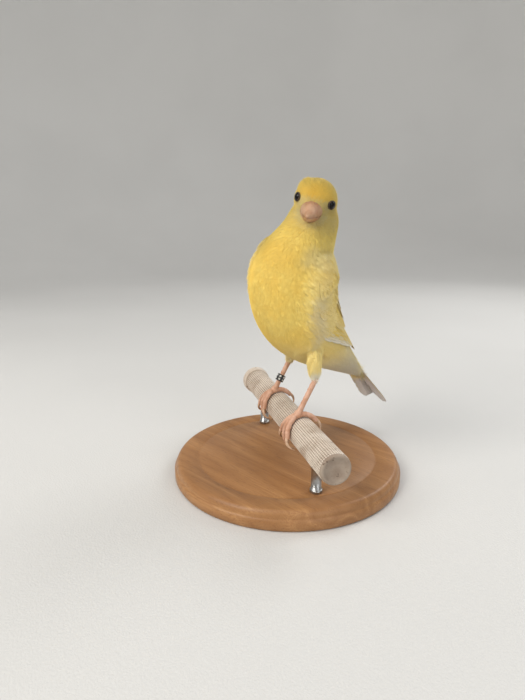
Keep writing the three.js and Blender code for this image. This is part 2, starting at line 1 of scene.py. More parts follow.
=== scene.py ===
# %% [markdown]
# # A yellow canary on a cut perch
# This lesson dresses the plain solids of a life-size canary: one skin, some thousands of small feathers over it,
# long feathers in the wings and the tail, a horn bill, scaled feet, a leg ring, a ribbed perch and a small stand.
# Lengths are given in millimetres from the "stance", the top of the perch between the two feet. They are turned
# into metres in one place, when a mesh is made.

# %% Load the frame
import math

import bmesh
import bpy
import numpy as np
from mathutils import Matrix, Vector
from mathutils.bvhtree import BVHTree
from mathutils.kdtree import KDTree


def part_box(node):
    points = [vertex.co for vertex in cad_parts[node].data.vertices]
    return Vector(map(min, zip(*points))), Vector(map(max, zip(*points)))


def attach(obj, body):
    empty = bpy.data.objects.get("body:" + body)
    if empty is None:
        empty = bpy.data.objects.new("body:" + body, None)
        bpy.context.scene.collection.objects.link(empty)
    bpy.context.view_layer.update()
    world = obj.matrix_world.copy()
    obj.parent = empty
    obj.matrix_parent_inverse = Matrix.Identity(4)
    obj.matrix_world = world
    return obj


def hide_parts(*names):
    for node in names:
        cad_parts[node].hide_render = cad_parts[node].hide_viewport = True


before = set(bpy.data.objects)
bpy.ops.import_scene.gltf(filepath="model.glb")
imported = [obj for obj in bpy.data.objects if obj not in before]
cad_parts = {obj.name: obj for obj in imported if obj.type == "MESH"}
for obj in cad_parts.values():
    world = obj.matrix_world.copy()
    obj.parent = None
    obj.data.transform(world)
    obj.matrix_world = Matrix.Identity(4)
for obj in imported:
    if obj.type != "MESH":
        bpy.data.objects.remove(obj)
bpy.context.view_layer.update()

PERCH_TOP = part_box("perch")[1].z

# %% [markdown]
# ## Helpers for shapes
# Nearly every piece here is set out by a rule: rings round a line, or plates over a surface. So the points are
# worked out in arrays and made into a mesh at the end. A smooth curve through a few stations gives all the
# values that change along the body, such as its width, its depth and its lean.


# %% A smooth curve through stations
def through(stations, shares):
    """The stations' values at each share (0 to 1) of the way along them, on one smooth curve."""
    p = np.asarray(stations, float)
    if p.ndim == 1:
        return through(p[:, None], shares)[..., 0]
    last = len(p) - 1
    padded = np.vstack([2 * p[0] - p[1], p, 2 * p[-1] - p[-2]])
    place = np.clip(np.asarray(shares, float), 0, 1) * last
    step = np.minimum(place.astype(int), last - 1)
    t = (place - step)[..., None]
    before, start, end, after = (padded[step + k] for k in range(4))
    leave, arrive = (end - before) / 2, (after - start) / 2
    return (
        start
        + leave * t
        + (3 * (end - start) - 2 * leave - arrive) * t**2
        + (2 * (start - end) + leave + arrive) * t**3
    )


def unit(v):
    return v / np.maximum(np.linalg.norm(v, axis=-1, keepdims=True), 1e-9)


def dot(a, b):
    return (a * b).sum(-1)


def mix(a, b, share):
    return a + (b - a) * share


def smooth(low, high, x):
    """0 below low, 1 above high, and an even slope between."""
    t = np.clip((x - low) / (high - low), 0, 1)
    return t * t * (3 - 2 * t)


# %% Make a mesh
def make_piece(name, points, faces, uv_maps=None, colours=None, shade_smooth=True):
    """A mesh object from points in millimetres over the stance. faces is a list of arrays, each of one width.
    shade_smooth may be one answer for all faces or one for each."""
    mesh = bpy.data.meshes.new(name)
    points = np.asarray(points, float) * 0.001 + (0, 0, PERCH_TOP)
    blocks = [np.asarray(f, np.int32) for f in faces if len(f)]
    corners = np.concatenate([b.ravel() for b in blocks])
    widths = np.concatenate([np.full(len(b), b.shape[1], np.int32) for b in blocks])
    mesh.vertices.add(len(points))
    mesh.vertices.foreach_set("co", points.astype(np.float32).ravel())
    mesh.loops.add(len(corners))
    mesh.loops.foreach_set("vertex_index", corners)
    mesh.polygons.add(len(widths))
    mesh.polygons.foreach_set("loop_start", np.concatenate([[0], np.cumsum(widths)[:-1]]).astype(np.int32))
    mesh.polygons.foreach_set("use_smooth", np.zeros(len(widths), bool) + shade_smooth)
    for map_name, uv in (uv_maps or {}).items():
        layer = mesh.uv_layers.new(name=map_name)
        layer.data.foreach_set("uv", np.asarray(uv, np.float32)[corners].ravel())
    for attribute_name, values in (colours or {}).items():
        values = np.asarray(values, np.float32)
        kind, field = ("FLOAT", "value") if values.ndim == 1 else ("FLOAT_COLOR", "color")
        mesh.attributes.new(attribute_name, kind, "POINT").data.foreach_set(field, values.ravel())
    mesh.update(calc_edges=True)
    mesh.validate()
    piece = bpy.data.objects.new(name, mesh)
    bpy.context.scene.collection.objects.link(piece)
    return piece


def tube_faces(rings, sides, first=0):
    """Quads of a closed tube through rings of points, with a pole point before the first and after the last."""
    ring, side = np.meshgrid(np.arange(rings - 1), np.arange(sides), indexing="ij")
    a = first + 1 + ring * sides + side
    b = first + 1 + ring * sides + (side + 1) % sides
    quads = np.stack([a, b, b + sides, a + sides], -1).reshape(-1, 4)
    s = np.arange(sides)
    low = np.stack([np.full(sides, first), first + 1 + (s + 1) % sides, first + 1 + s], -1)
    top = first + 1 + (rings - 1) * sides
    high = np.stack([np.full(sides, first + 1 + rings * sides), top + s, top + (s + 1) % sides], -1)
    return [quads, np.concatenate([low, high])]


def tube(rings, low, high):
    """Points and faces of a closed body through rings (an array of ring, side and xyz)."""
    count, sides = rings.shape[:2]
    points = np.concatenate([[low], rings.reshape(-1, 3), [high]])
    return points, tube_faces(count, sides)


def gather(parts):
    """One list of points and faces from several."""
    points, blocks, first = [], [], 0
    for some_points, some_faces in parts:
        points.append(some_points)
        blocks += [np.asarray(f) + first for f in some_faces]
        first += len(some_points)
    return np.concatenate(points), blocks


def finished(piece, material, slot, *nodes):
    """Gives a piece its material, and says what it rides on and the nodes that it stands for. slot is not used."""
    piece.data.materials.clear()
    piece.data.materials.append(material)
    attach(piece, "root")
    if nodes:
        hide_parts(*nodes)
    print(piece.name, len(piece.data.vertices), "points")
    return piece


# %% [markdown]
# ## The body's own measures
# The trunk is a row of sections from the tail coverts up into the head, each with its middle, half-width, depth to
# the back and to the front, lean and tilt. These are the values that the solids were made from. Everything on
# the bird is placed from them, so a feather drawn at a share of the trunk lies where the solid's back or breast is.

# %% The trunk
TRUNK = np.array([
    # x, y, z of the middle, half-width, depth to the back, depth to the front, lean, tilt
    [7.4, 43, 6.0, 3.2, 1.7, 1.7, 46, 0],
    [6.3, 34.8, 12.0, 6.6, 4.4, 5.4, 46, 0],
    [4.2, 24.4, 20.0, 11.0, 7.6, 10.4, 45, 0],
    [2.4, 15.0, 28.4, 14.8, 10.8, 15.4, 42, 0],
    [1.2, 7.4, 37.5, 17.0, 13.8, 19.0, 36, 2],
    [0.7, 2.4, 47, 17.6, 16.0, 20.0, 26, 6],
    [1.0, 1.2, 57, 17.2, 17.4, 19.2, 13, 10],
    [2.8, 2.8, 66, 14.6, 15.0, 15.0, 0, 14],
    [5.7, 5.0, 73.5, 12.0, 12.6, 10.8, -8, 15],
    [7.2, 6.9, 80, 10.9, 10.6, 8.4, -10, 14],
    [8.2, 7.6, 85.0, 8.2, 8.0, 4.8, -10, 14],
])
UP = np.array([0.0, 0, 1])


def trunk_at(share):
    """The trunk's section at a share of the way from tail to head: its middle, directions and sizes."""
    s = through(TRUNK, share)
    lean, tilt = np.radians(s[..., 6]), np.radians(s[..., 7])
    zero = np.zeros_like(lean)
    left = np.stack([np.cos(tilt), zero, -np.sin(tilt)], -1)
    along = unit(np.cross(left, np.stack([zero, np.cos(lean), np.sin(lean)], -1)))
    dorsal = np.cross(along, left)
    return {"middle": s[..., :3], "along": along, "left": left, "dorsal": dorsal, "size": s[..., 3:6]}


def on_trunk(share, turn, out=0.0):
    """A point of the trunk, with turn 0 at the back and a quarter turn at the bird's left, moved out by out mm."""
    s = trunk_at(share)
    depth = np.where(np.cos(turn) > 0, s["size"][..., 1], s["size"][..., 2])
    across = ((s["size"][..., 0] + out) * np.sin(turn))[..., None] * s["left"]
    return s["middle"] + across + ((depth + out) * np.cos(turn))[..., None] * s["dorsal"]


SPINE = trunk_at(np.linspace(0, 1, 161))


def trunk_place(points):
    """For each point, the share along the trunk and the turn round it, by the nearest section."""
    shares, turns = np.empty(len(points)), np.empty(len(points))
    for start in range(0, len(points), 20000):
        some = points[start : start + 20000]
        away = some[:, None] - SPINE["middle"][None]
        off_plane = np.abs((away * SPINE["along"][None]).sum(-1))
        nearest = np.argmin(off_plane + 0.25 * np.linalg.norm(away, axis=-1), axis=1)
        off = some - SPINE["middle"][nearest]
        shares[start : start + 20000] = nearest / 160
        turns[start : start + 20000] = np.arctan2(dot(off, SPINE["left"][nearest]), dot(off, SPINE["dorsal"][nearest]))
    return shares, turns


# %% The head
HEAD_AT = np.array([8.6, 5.6, 85.0])
HEAD_TURN, HEAD_NOD, HEAD_TILT = 30, 11, 14
HEAD_WIDE, HEAD_FORE, HEAD_AFT, HEAD_CROWN, HEAD_THROAT, HEAD_NARROWING = 9.3, 9.0, 9.8, 9.5, 8.8, 0.3

head_turned = (
    Matrix.Rotation(math.radians(HEAD_TURN), 3, "Z")
    @ Matrix.Rotation(math.radians(HEAD_NOD), 3, "X")
    @ Matrix.Rotation(math.radians(HEAD_TILT), 3, "Y")
)
HEAD_FORWARD = np.array(head_turned @ Vector((0, -1, 0)))
HEAD_LEFT = np.array(head_turned @ Vector((1, 0, 0)))
HEAD_UP = np.array(head_turned @ Vector((0, 0, 1)))


def on_head(forward, left, up):
    """A point set out from the middle of the head."""
    forward, left, up = (np.asarray(x, float)[..., None] for x in (forward, left, up))
    return HEAD_AT + forward * HEAD_FORWARD + left * HEAD_LEFT + up * HEAD_UP


def head_place(points):
    """Each point's distance forward, to the left and up from the middle of the head."""
    off = points - HEAD_AT
    return off @ HEAD_FORWARD, off @ HEAD_LEFT, off @ HEAD_UP


def head_surface(f, l, u, out=0.0):
    """The head's surface in a unit direction (forward, left, up), moved out by out mm."""
    face = np.maximum(f, 0) ** 1.2
    return on_head(
        f * (np.where(f > 0, HEAD_FORE, HEAD_AFT) + out),
        l * (HEAD_WIDE * (1 - HEAD_NARROWING * face) + out),
        u * (np.where(u > 0, HEAD_CROWN, HEAD_THROAT) + out) - 0.9 * face,
    )


# %% The perch and the legs
PERCH_RADIUS, PERCH_HALF, PERCH_TURN = 6.0, 54.0, math.radians(-30.2)
PERCH_ALONG = np.array([math.cos(PERCH_TURN), math.sin(PERCH_TURN), 0])
PERCH_FRONT = np.array([math.sin(PERCH_TURN), -math.cos(PERCH_TURN), 0])


def on_perch(along, turn, radius):
    """A point round the perch: distance along it, turn from its top towards the bird's front, distance from its axis."""
    along, turn, radius = (np.asarray(x, float)[..., None] for x in (along, turn, radius))
    around = PERCH_FRONT * np.sin(turn) + UP * np.cos(turn)
    return -PERCH_RADIUS * UP + PERCH_ALONG * along + around * radius


STANCE_HALF, STANCE_SHIFT, STANCE_TURN = 16.1, 2.4, 0.2
SHANK_LENGTH, SHANK_LEAN, SHANK_SWING = 18.0, math.radians(31), math.radians(17)
SHANK_WAY = np.array([
    math.sin(SHANK_LEAN) * math.sin(SHANK_SWING),
    math.sin(SHANK_LEAN) * math.cos(SHANK_SWING),
    math.cos(SHANK_LEAN),
])
TOE_RADIUS, TOE_GAP = 1.15, 0.3


def stand(side):
    return STANCE_SHIFT + side * STANCE_HALF


def foot_hub(side):
    return on_perch(stand(side), STANCE_TURN, PERCH_RADIUS + TOE_GAP + TOE_RADIUS + 0.3)


def on_shank(side, share):
    return foot_hub(side) + SHANK_WAY * (SHANK_LENGTH * np.asarray(share, float))[..., None]


def hip(side):
    return np.array([2 + side * 8.5, 6.0 if side > 0 else 13.0, 27.0])


# Down the thigh from the hip: share of the way, radius
THIGH = np.array([[0, 6.8], [0.25, 6.2], [0.5, 4.9], [0.75, 3.5], [0.92, 2.7], [1, 2.2]])


def thigh_line(side, share):
    """A point of the thigh's middle line, from the hip to the heel, and its radius there."""
    share = np.asarray(share, float)
    heel = on_shank(side, 0.87)
    bow = 1.6 * np.sin(np.pi * share)[..., None] * np.array([0, -1, 0.3])
    return mix(hip(side), heel, share[..., None]) + bow, np.interp(share, THIGH[:, 0], THIGH[:, 1])


# %% [markdown]
# ## The skin
# Under the plumage is one skin without a seam. Trunk, head and thighs are made as closed bodies, a coat's depth
# inside the outline that the bird shows, and run into each other. A voxel remesh turns them into one surface, and
# a little smoothing softens the folds where the neck meets the breast and the thigh meets the belly.

# %% Skin
COAT_DEPTH, FACE_DEPTH, THIGH_DEPTH = 1.0, 0.7, 0.9
SKIN_VOXEL = 0.00055


def limb_rings(line, radii, sides, squash=1.0):
    """Rings square to a line of points. squash is the depth of the section over its width."""
    tangent = unit(np.gradient(line, axis=0))
    side = unit(np.cross(tangent, UP))
    front = np.cross(side, tangent)
    turn = np.linspace(0, 2 * np.pi, sides, endpoint=False)
    around = side[:, None] * np.sin(turn)[None, :, None] + front[:, None] * (squash * np.cos(turn))[None, :, None]
    return line[:, None] + around * np.reshape(radii, (len(line), -1, 1))


def skin_trunk():
    share, turn = np.meshgrid(np.linspace(0, 1, 81), np.linspace(0, 2 * np.pi, 64, endpoint=False), indexing="ij")
    depth = mix(0.7, COAT_DEPTH, smooth(0, 0.2, share[:, :1]))
    rings = on_trunk(share, turn, -depth)
    ends = trunk_at(np.array([0.0, 1.0]))
    return tube(rings, ends["middle"][0] + ends["along"][0] * 0.4, ends["middle"][1] + ends["along"][1])


def skin_head():
    lat, lon = np.meshgrid(np.linspace(0, np.pi, 42)[1:-1], np.linspace(0, 2 * np.pi, 64, endpoint=False), indexing="ij")
    f, l, u = np.cos(lat), np.sin(lat) * np.cos(lon), np.sin(lat) * np.sin(lon)
    depth = -mix(COAT_DEPTH, FACE_DEPTH, smooth(-0.3, 0.5, f))
    return tube(head_surface(f, l, u, depth), head_surface(*np.eye(3)[0], -FACE_DEPTH), head_surface(*-np.eye(3)[0], -COAT_DEPTH))


def skin_thigh(side):
    share = np.linspace(0, 1, 24)
    line, radius = thigh_line(side, share)
    line = line + (1 - share)[:, None] * np.array([-1.6 * side, 3.4, 1.8])
    rings = limb_rings(line, radius - THIGH_DEPTH - 3.1 * (1 - share) ** 1.2, 32)
    return tube(rings, line[0] * 1.5 - line[1] * 0.5, line[-1] * 1.5 - line[-2] * 0.5)


def evaluated_copy(piece, name):
    """A plain mesh object of what a piece's modifiers make, and the piece itself is removed."""
    shaped = piece.evaluated_get(bpy.context.evaluated_depsgraph_get())
    mesh = bpy.data.meshes.new_from_object(shaped)
    bpy.data.objects.remove(piece)
    mesh.name = name
    copy = bpy.data.objects.new(name, mesh)
    bpy.context.scene.collection.objects.link(copy)
    return copy


parts = [skin_trunk(), skin_head(), skin_thigh(1), skin_thigh(-1)]
rough = make_piece("rough_skin", *gather(parts))
flip = bmesh.new()
flip.from_mesh(rough.data)
bmesh.ops.recalc_face_normals(flip, faces=flip.faces)
flip.to_mesh(rough.data)
flip.free()
remesh = rough.modifiers.new("remesh", "REMESH")
remesh.mode, remesh.voxel_size, remesh.use_smooth_shade = "VOXEL", SKIN_VOXEL, True
relax = rough.modifiers.new("relax", "SMOOTH")
relax.factor, relax.iterations = 0.5, 24
skin = evaluated_copy(rough, "skin")
print("skin faces", len(skin.data.polygons))


# %% The skin as arrays
def points_of(piece):
    """A piece's points in millimetres over the stance."""
    co = np.empty(len(piece.data.vertices) * 3, np.float32)
    piece.data.vertices.foreach_get("co", co)
    return (co.reshape(-1, 3).astype(float) - (0, 0, PERCH_TOP)) * 1000


class Ground:
    """A surface that feathers grow from, which answers where its nearest point is."""

    def __init__(self, points, polygons):
        self.tree = BVHTree.FromPolygons([tuple(p) for p in points], [tuple(int(i) for i in f) for f in polygons])

    def nearest(self, points):
        found = [self.tree.find_nearest(p) for p in points]
        return np.array([f[0] for f in found]), np.array([f[1] for f in found]), np.array([f[3] for f in found])


skin_points = points_of(skin)
skin_polygons = [tuple(p.vertices) for p in skin.data.polygons]
body_ground = Ground(skin_points, skin_polygons)


# %% [markdown]
# ## Materials
# Each finish is a Principled shader with its own colours, and what several of them share is a shader node group:
# "mottle" gives soft uneven patches, "barbs" draws the fine slanted lines of a feather's web on its own map, and
# "plumage" turns the marking attribute into a colour. The groups only hand on colours and values.


# %% Node helpers
def paint(red, green, blue):
    """A colour as the eye reads it (0 to 255), as the light values that a shader wants."""
    values = [c / 255 for c in (red, green, blue)]
    return tuple(c / 12.92 if c <= 0.04045 else ((c + 0.055) / 1.055) ** 2.4 for c in values) + (1.0,)


def node(tree, kind, sockets=None, **settings):
    """One node. sockets gives each input, by name or number, a value or another node's output."""
    made = tree.nodes.new(kind)
    for name, value in settings.items():
        setattr(made, name, value)
    for name, value in (sockets or {}).items():
        if isinstance(value, bpy.types.NodeSocket):
            tree.links.new(value, made.inputs[name])
        else:
            made.inputs[name].default_value = value
    return made


def maths(tree, operation, *values, clamp=False):
    made = node(tree, "ShaderNodeMath", dict(enumerate(values)), operation=operation)
    made.use_clamp = clamp
    return made.outputs[0]


def blend_colours(tree, share, first, second, kind="MIX"):
    made = node(tree, "ShaderNodeMix", {0: share, 6: first, 7: second}, data_type="RGBA", blend_type=kind)
    return made.outputs[2]


def ramp(tree, value, low, high):
    """0 where the value is under low, 1 where it is over high."""
    made = node(tree, "ShaderNodeMapRange", {0: value, 1: low, 2: high}, interpolation_type="SMOOTHSTEP")
    return made.outputs[0]


def new_group(name, inputs, outputs):
    group = bpy.data.node_groups.new(name, "ShaderNodeTree")
    kinds = {"value": "NodeSocketFloat", "colour": "NodeSocketColor", "vector": "NodeSocketVector"}
    for label, kind, start in inputs:
        socket = group.interface.new_socket(label, in_out="INPUT", socket_type=kinds[kind])
        socket.default_value = start
    for label, kind in outputs:
        group.interface.new_socket(label, in_out="OUTPUT", socket_type=kinds[kind])
    return group, group.nodes.new("NodeGroupInput").outputs, group.nodes.new("NodeGroupOutput").inputs


def use_group(tree, group, **values):
    made = tree.nodes.new("ShaderNodeGroup")
    made.node_tree = group
    for name, value in values.items():
        socket = made.inputs[name]
        if isinstance(value, bpy.types.NodeSocket):
            tree.links.new(value, socket)
        else:
            socket.default_value = value
    return made.outputs


def new_material(name, **constants):
    """A material's tree and its Principled shader, with the given constants on the shader's own sockets."""
    material = bpy.data.materials.new(name)
    material.use_nodes = True
    shader = material.node_tree.nodes["Principled BSDF"]
    for label, value in constants.items():
        shader.inputs[label.replace("_", " ")].default_value = value
    return material, material.node_tree, shader


def bump(tree, shader, height, strength, distance):
    made = node(tree, "ShaderNodeBump", {"Height": height, "Strength": strength, "Distance": distance})
    tree.links.new(made.outputs["Normal"], shader.inputs["Normal"])


# %% Group: mottle
mottle, given, gives = new_group(
    "mottle", [("Size", "value", 0.004), ("Detail", "value", 3.0), ("Low", "value", 0.35), ("High", "value", 0.65)], [("Patches", "value")]
)
place = node(mottle, "ShaderNodeTexCoord").outputs["Object"]
fineness = maths(mottle, "DIVIDE", 1.0, given["Size"])
noise = node(mottle, "ShaderNodeTexNoise", {"Vector": place, "Scale": fineness, "Detail": given["Detail"]})
spread = node(mottle, "ShaderNodeMapRange", {0: noise.outputs["Fac"], 1: given["Low"], 2: given["High"]}, interpolation_type="SMOOTHSTEP")
mottle.links.new(spread.outputs[0], gives["Patches"])

# %% Group: barbs
# The map "vane" holds millimetres along a feather and across it from the shaft.
barbs_group, given, gives = new_group(
    "barbs", [("Spacing", "value", 0.3), ("Slant", "value", 1.1), ("Shaft", "value", 0.12)], [("Height", "value"), ("Shaft", "value")]
)
vane_map = node(barbs_group, "ShaderNodeUVMap", uv_map="vane").outputs[0]
parted = node(barbs_group, "ShaderNodeSeparateXYZ", {0: vane_map}).outputs
across = maths(barbs_group, "ABSOLUTE", parted["Y"])
slanted = maths(barbs_group, "SUBTRACT", parted["X"], maths(barbs_group, "MULTIPLY", across, given["Slant"]))
wander = node(barbs_group, "ShaderNodeTexNoise", {"Vector": vane_map, "Scale": 1.3, "Detail": 2.0}).outputs["Fac"]
slanted = maths(barbs_group, "ADD", slanted, maths(barbs_group, "MULTIPLY", wander, 0.5))
line = maths(barbs_group, "PINGPONG", maths(barbs_group, "DIVIDE", slanted, given["Spacing"]), 0.5)
shaft_line = maths(barbs_group, "SUBTRACT", 1.0, maths(barbs_group, "DIVIDE", across, given["Shaft"]), clamp=True)
barbs_group.links.new(maths(barbs_group, "ADD", line, shaft_line), gives["Height"])
barbs_group.links.new(shaft_line, gives["Shaft"])

# %% Group: plumage
# Reads gold, cream, white and tone from the attribute "marking", and the share of a feather's length from "tip".
plumage, given, gives = new_group(
    "plumage",
    [("Yellow", "colour", paint(249, 222, 112)), ("Gold", "colour", paint(246, 204, 58)),
     ("Cream", "colour", paint(245, 230, 172)), ("White", "colour", paint(244, 238, 222)),
     ("Frost", "value", 0.1), ("Patch", "value", 0.35)],
    [("Color", "colour")],
)
marks = node(plumage, "ShaderNodeAttribute", attribute_name="marking")
part = node(plumage, "ShaderNodeSeparateColor", {0: marks.outputs["Color"]}).outputs
tip = node(plumage, "ShaderNodeAttribute", attribute_name="tip").outputs["Fac"]
patches = use_group(plumage, mottle, Size=0.011, Detail=3.0, Low=0.42, High=0.66)["Patches"]
specks = use_group(plumage, mottle, Size=0.0012, Detail=2.0, Low=0.3, High=0.7)["Patches"]
warm = blend_colours(plumage, part["Red"], given["Yellow"], given["Gold"])
warm = blend_colours(plumage, maths(plumage, "MULTIPLY", patches, given["Patch"]), warm, given["Gold"])
pale = blend_colours(plumage, part["Green"], warm, given["Cream"])
pale = blend_colours(plumage, part["Blue"], pale, given["White"])
frosted = blend_colours(plumage, maths(plumage, "MULTIPLY", maths(plumage, "POWER", tip, 2.0), given["Frost"]), pale, given["Cream"])
# The tone darkens the colour: each feather's own tone and the painted shade set in the markings.
tone = maths(plumage, "ADD", maths(plumage, "MULTIPLY", marks.outputs["Alpha"], 0.44), maths(plumage, "MULTIPLY", specks, 0.03))
lightness = maths(plumage, "ADD", tone, 0.62)
shade = node(plumage, "ShaderNodeCombineColor", {0: lightness, 1: lightness, 2: lightness}).outputs[0]
plumage.links.new(blend_colours(plumage, 1.0, frosted, shade, "MULTIPLY"), gives["Color"])


# %% Feather materials
def feather_material(name, spacing, strength, **colours):
    material, tree, shader = new_material(name, Roughness=0.72, Sheen_Weight=0.25, Sheen_Roughness=0.5, Specular_IOR_Level=0.25)
    tree.links.new(use_group(tree, plumage, **colours)["Color"], shader.inputs["Base Color"])
    lines = use_group(tree, barbs_group, Spacing=spacing)
    bump(tree, shader, lines["Height"], strength, 0.0001)
    return material


coat_yellow = feather_material("coat_yellow", 0.22, 0.12)
wing_vane = feather_material("wing_vane", 0.34, 1.0, Frost=0.08)
tail_vane = feather_material("tail_vane", 0.36, 1.0, Frost=0.05, Yellow=paint(220, 206, 166), White=paint(230, 222, 220))

skin_material, tree, shader = new_material("skin_under_coat", Roughness=0.8)
under = use_group(tree, plumage, Frost=0.0)["Color"]
tree.links.new(blend_colours(tree, 0.25, under, paint(205, 160, 90)), shader.inputs["Base Color"])
bump(tree, shader, use_group(tree, mottle, Size=0.0006)["Patches"], 0.4, 0.0001)


# %% Horn, scales, eyes and the small hard parts
def mottled_material(name, base, second, size, amount=1.0, bump_size=0.0008, bump_depth=0.00008, **constants):
    """A finish of two colours in soft patches, with a fine grain."""
    material, tree, shader = new_material(name, **constants)
    patches = use_group(tree, mottle, Size=size)["Patches"]
    tree.links.new(blend_colours(tree, maths(tree, "MULTIPLY", patches, amount), base, second), shader.inputs["Base Color"])
    bump(tree, shader, use_group(tree, mottle, Size=bump_size)["Patches"], 0.5, bump_depth)
    return material, tree, shader


bill_horn, *_ = mottled_material("bill_horn", paint(192, 148, 118), paint(166, 118, 84), 0.005, Roughness=0.48, Subsurface_Weight=0.1)
claw_horn, *_ = mottled_material("claw_horn", paint(222, 190, 160), paint(180, 142, 112), 0.003, Roughness=0.35)
leg_scales, *_ = mottled_material("leg_scales", paint(212, 168, 142), paint(192, 142, 112), 0.003, Roughness=0.5)
lid_skin, *_ = mottled_material("lid_skin", paint(84, 66, 46), paint(56, 42, 30), 0.001, Roughness=0.6)
eye_dark, *_ = mottled_material("eye_dark", paint(7, 5, 4), paint(14, 9, 6), 0.002, bump_depth=0.000002, Roughness=0.08, Specular_IOR_Level=0.2)
ring_black, *_ = mottled_material("ring_black", paint(22, 23, 26), paint(36, 37, 40), 0.003, Roughness=0.38)
ring_mark, *_ = mottled_material("ring_mark", paint(222, 222, 214), paint(196, 196, 188), 0.001, Roughness=0.5)


def stained(name, base, second, stain, **constants):
    """Worn plastic: a mottled finish with brown stains and a few dark specks."""
    material, tree, shader = mottled_material(name, base, second, 0.008, **constants)
    clean = shader.inputs["Base Color"].links[0].from_socket
    smear = use_group(tree, mottle, Size=0.016, Detail=5.0, Low=0.5, High=0.72)["Patches"]
    dots = use_group(tree, mottle, Size=0.0011, Detail=1.0, Low=0.68, High=0.74)["Patches"]
    soiled = blend_colours(tree, maths(tree, "MULTIPLY", smear, 0.55), clean, stain)
    soiled = blend_colours(tree, maths(tree, "MULTIPLY", dots, 0.7), soiled, paint(92, 70, 52))
    tree.links.new(soiled, shader.inputs["Base Color"])
    return material


perch_plastic = stained("perch_plastic", paint(222, 210, 196), paint(206, 192, 176), paint(168, 142, 118), Roughness=0.62)
# The grooves between the studs have a darker finish than the studs: painted shade, with the same brown stains and
# specks.
perch_groove_shade_and_stain = stained("perch_groove_shade_and_stain", paint(166, 150, 134), paint(146, 128, 112), paint(118, 94, 74), Roughness=0.8)

# Wood: long bands across the disc, fine lines in them, and short dark pores
stand_wood, tree, shader = new_material("stand_wood", Roughness=0.42, Specular_IOR_Level=0.35)
place = node(tree, "ShaderNodeTexCoord").outputs["Object"]


def grain(scale, detail, distortion=0.0):
    stretched = node(tree, "ShaderNodeMapping", {"Vector": place, "Rotation": (0, 0, 0.5), "Scale": scale}).outputs[0]
    return node(tree, "ShaderNodeTexNoise", {"Vector": stretched, "Scale": 1.0, "Detail": detail, "Distortion": distortion}).outputs["Fac"]


rings = maths(tree, "PINGPONG", maths(tree, "MULTIPLY", grain((9, 70, 70), 1.0, 0.4), 5.5), 0.5)
lines = grain((40, 1500, 1500), 2.0)
pores = ramp(tree, grain((260, 5200, 5200), 1.0), 0.62, 0.7)
banded = blend_colours(tree, maths(tree, "MULTIPLY", rings, 1.7), paint(176, 130, 84), paint(140, 96, 58))
lined = blend_colours(tree, ramp(tree, lines, 0.35, 0.7), banded, paint(158, 112, 70))
tree.links.new(blend_colours(tree, maths(tree, "MULTIPLY", pores, 0.5), lined, paint(88, 58, 36)), shader.inputs["Base Color"])
bump(tree, shader, maths(tree, "SUBTRACT", lines, pores), 0.25, 0.0001)

rod_steel, *_ = mottled_material("rod_steel", paint(178, 178, 176), paint(160, 160, 160), 0.002, Roughness=0.3, Metallic=1.0)
plain_floor, *_ = mottled_material("plain_floor", paint(214, 213, 210), paint(210, 209, 206), 0.3, Roughness=0.8)


# %% [markdown]
# ## The wings' surface
# A folded wing follows the flank, so it is set out on the trunk too: run goes from the bend to the longest tip,
# and across from the wing's lower edge to its upper edge. The same rule places the arm's small feathers, the coverts
# and the long flight feathers, each tier a little higher than the one that it covers.

# %% Over the folded wing
WING_BEND, WING_TIP, WING_LEAST_WIDE, WING_LEAST_BACK, WING_SINK = 0.725, 0.14, 7.0, 6.2, 2.2
WING_LOWER = {1: [94, 107, 113, 117, 92, 52], -1: [112, 118, 116, 114, 94, 54]}
WING_UPPER = [66, 44, 26, 15, 10, 12]


def sunk(share):
    return (1 - np.clip(share, 0, 1)) ** 2


def on_wing(side, run, across, sideways, height):
    """A point over the folded wing, sideways mm towards the back and height mm over the body."""
    run, across, sideways, height = np.broadcast_arrays(*(np.asarray(x, float) for x in (run, across, sideways, height)))
    s = trunk_at(np.maximum(0.002, mix(WING_BEND, WING_TIP, run)))
    wide = np.maximum(s["size"][..., 0], WING_LEAST_WIDE)
    steps = np.linspace(0, 1, 6)
    lower = np.radians(np.interp(run, steps, WING_LOWER[side]))
    upper = np.radians(np.interp(run, steps, WING_UPPER))
    turn = mix(lower, upper, across)

    def depth_of(angle):
        return np.where(np.cos(angle) > 0, np.maximum(s["size"][..., 1], WING_LEAST_BACK), s["size"][..., 2])

    radius = np.hypot(wide * np.sin(turn), depth_of(turn) * np.cos(turn))
    turn = turn - sideways / radius
    depth = depth_of(turn)
    out = unit(s["left"] * (side * np.sin(turn) / wide)[..., None] + s["dorsal"] * (np.cos(turn) / depth)[..., None])
    up = height - WING_SINK * (sunk(run / 0.1) + sunk((1 - across) / 0.12) * (1 - run))
    return (
        s["middle"]
        + s["left"] * (side * wide * np.sin(turn))[..., None]
        + s["dorsal"] * (depth * np.cos(turn))[..., None]
        + out * up[..., None]
    )


def wing_pocket(parts):
    """1 just in front of a folded wing's lower edge, where the breast's feathers lie over it, and 0 far from it."""
    run = (WING_BEND - parts["share"]) / (WING_BEND - WING_TIP)
    near = np.zeros(len(run))
    for side in (1, -1):
        edge = np.interp(run, np.linspace(0, 1, 6), WING_LOWER[side])
        gap = 0.28 * (np.degrees(side * parts["turn"]) - edge)
        near = np.maximum(near, smooth(8, 2.5, gap) * smooth(-9, -5, gap) * (side * parts["turn"] > 0))
    return near * smooth(-0.06, 0.02, run) * smooth(0.6, 0.42, run)


def wing_fringe_and_shade(parts):
    """1 where the breast's pale ends lie along the left wing's lower edge, darkened there as painted shade, and 0 far
    from it.
    """
    run = (WING_BEND - parts["share"]) / (WING_BEND - WING_TIP)
    edge = np.interp(run, np.linspace(0, 1, 6), WING_LOWER[1])
    gap = 0.28 * (np.degrees(parts["turn"]) - edge)
    return np.exp(-(((gap - 2.6) / 1.6) ** 2)) * smooth(0.18, 0.3, run) * smooth(0.64, 0.5, run)


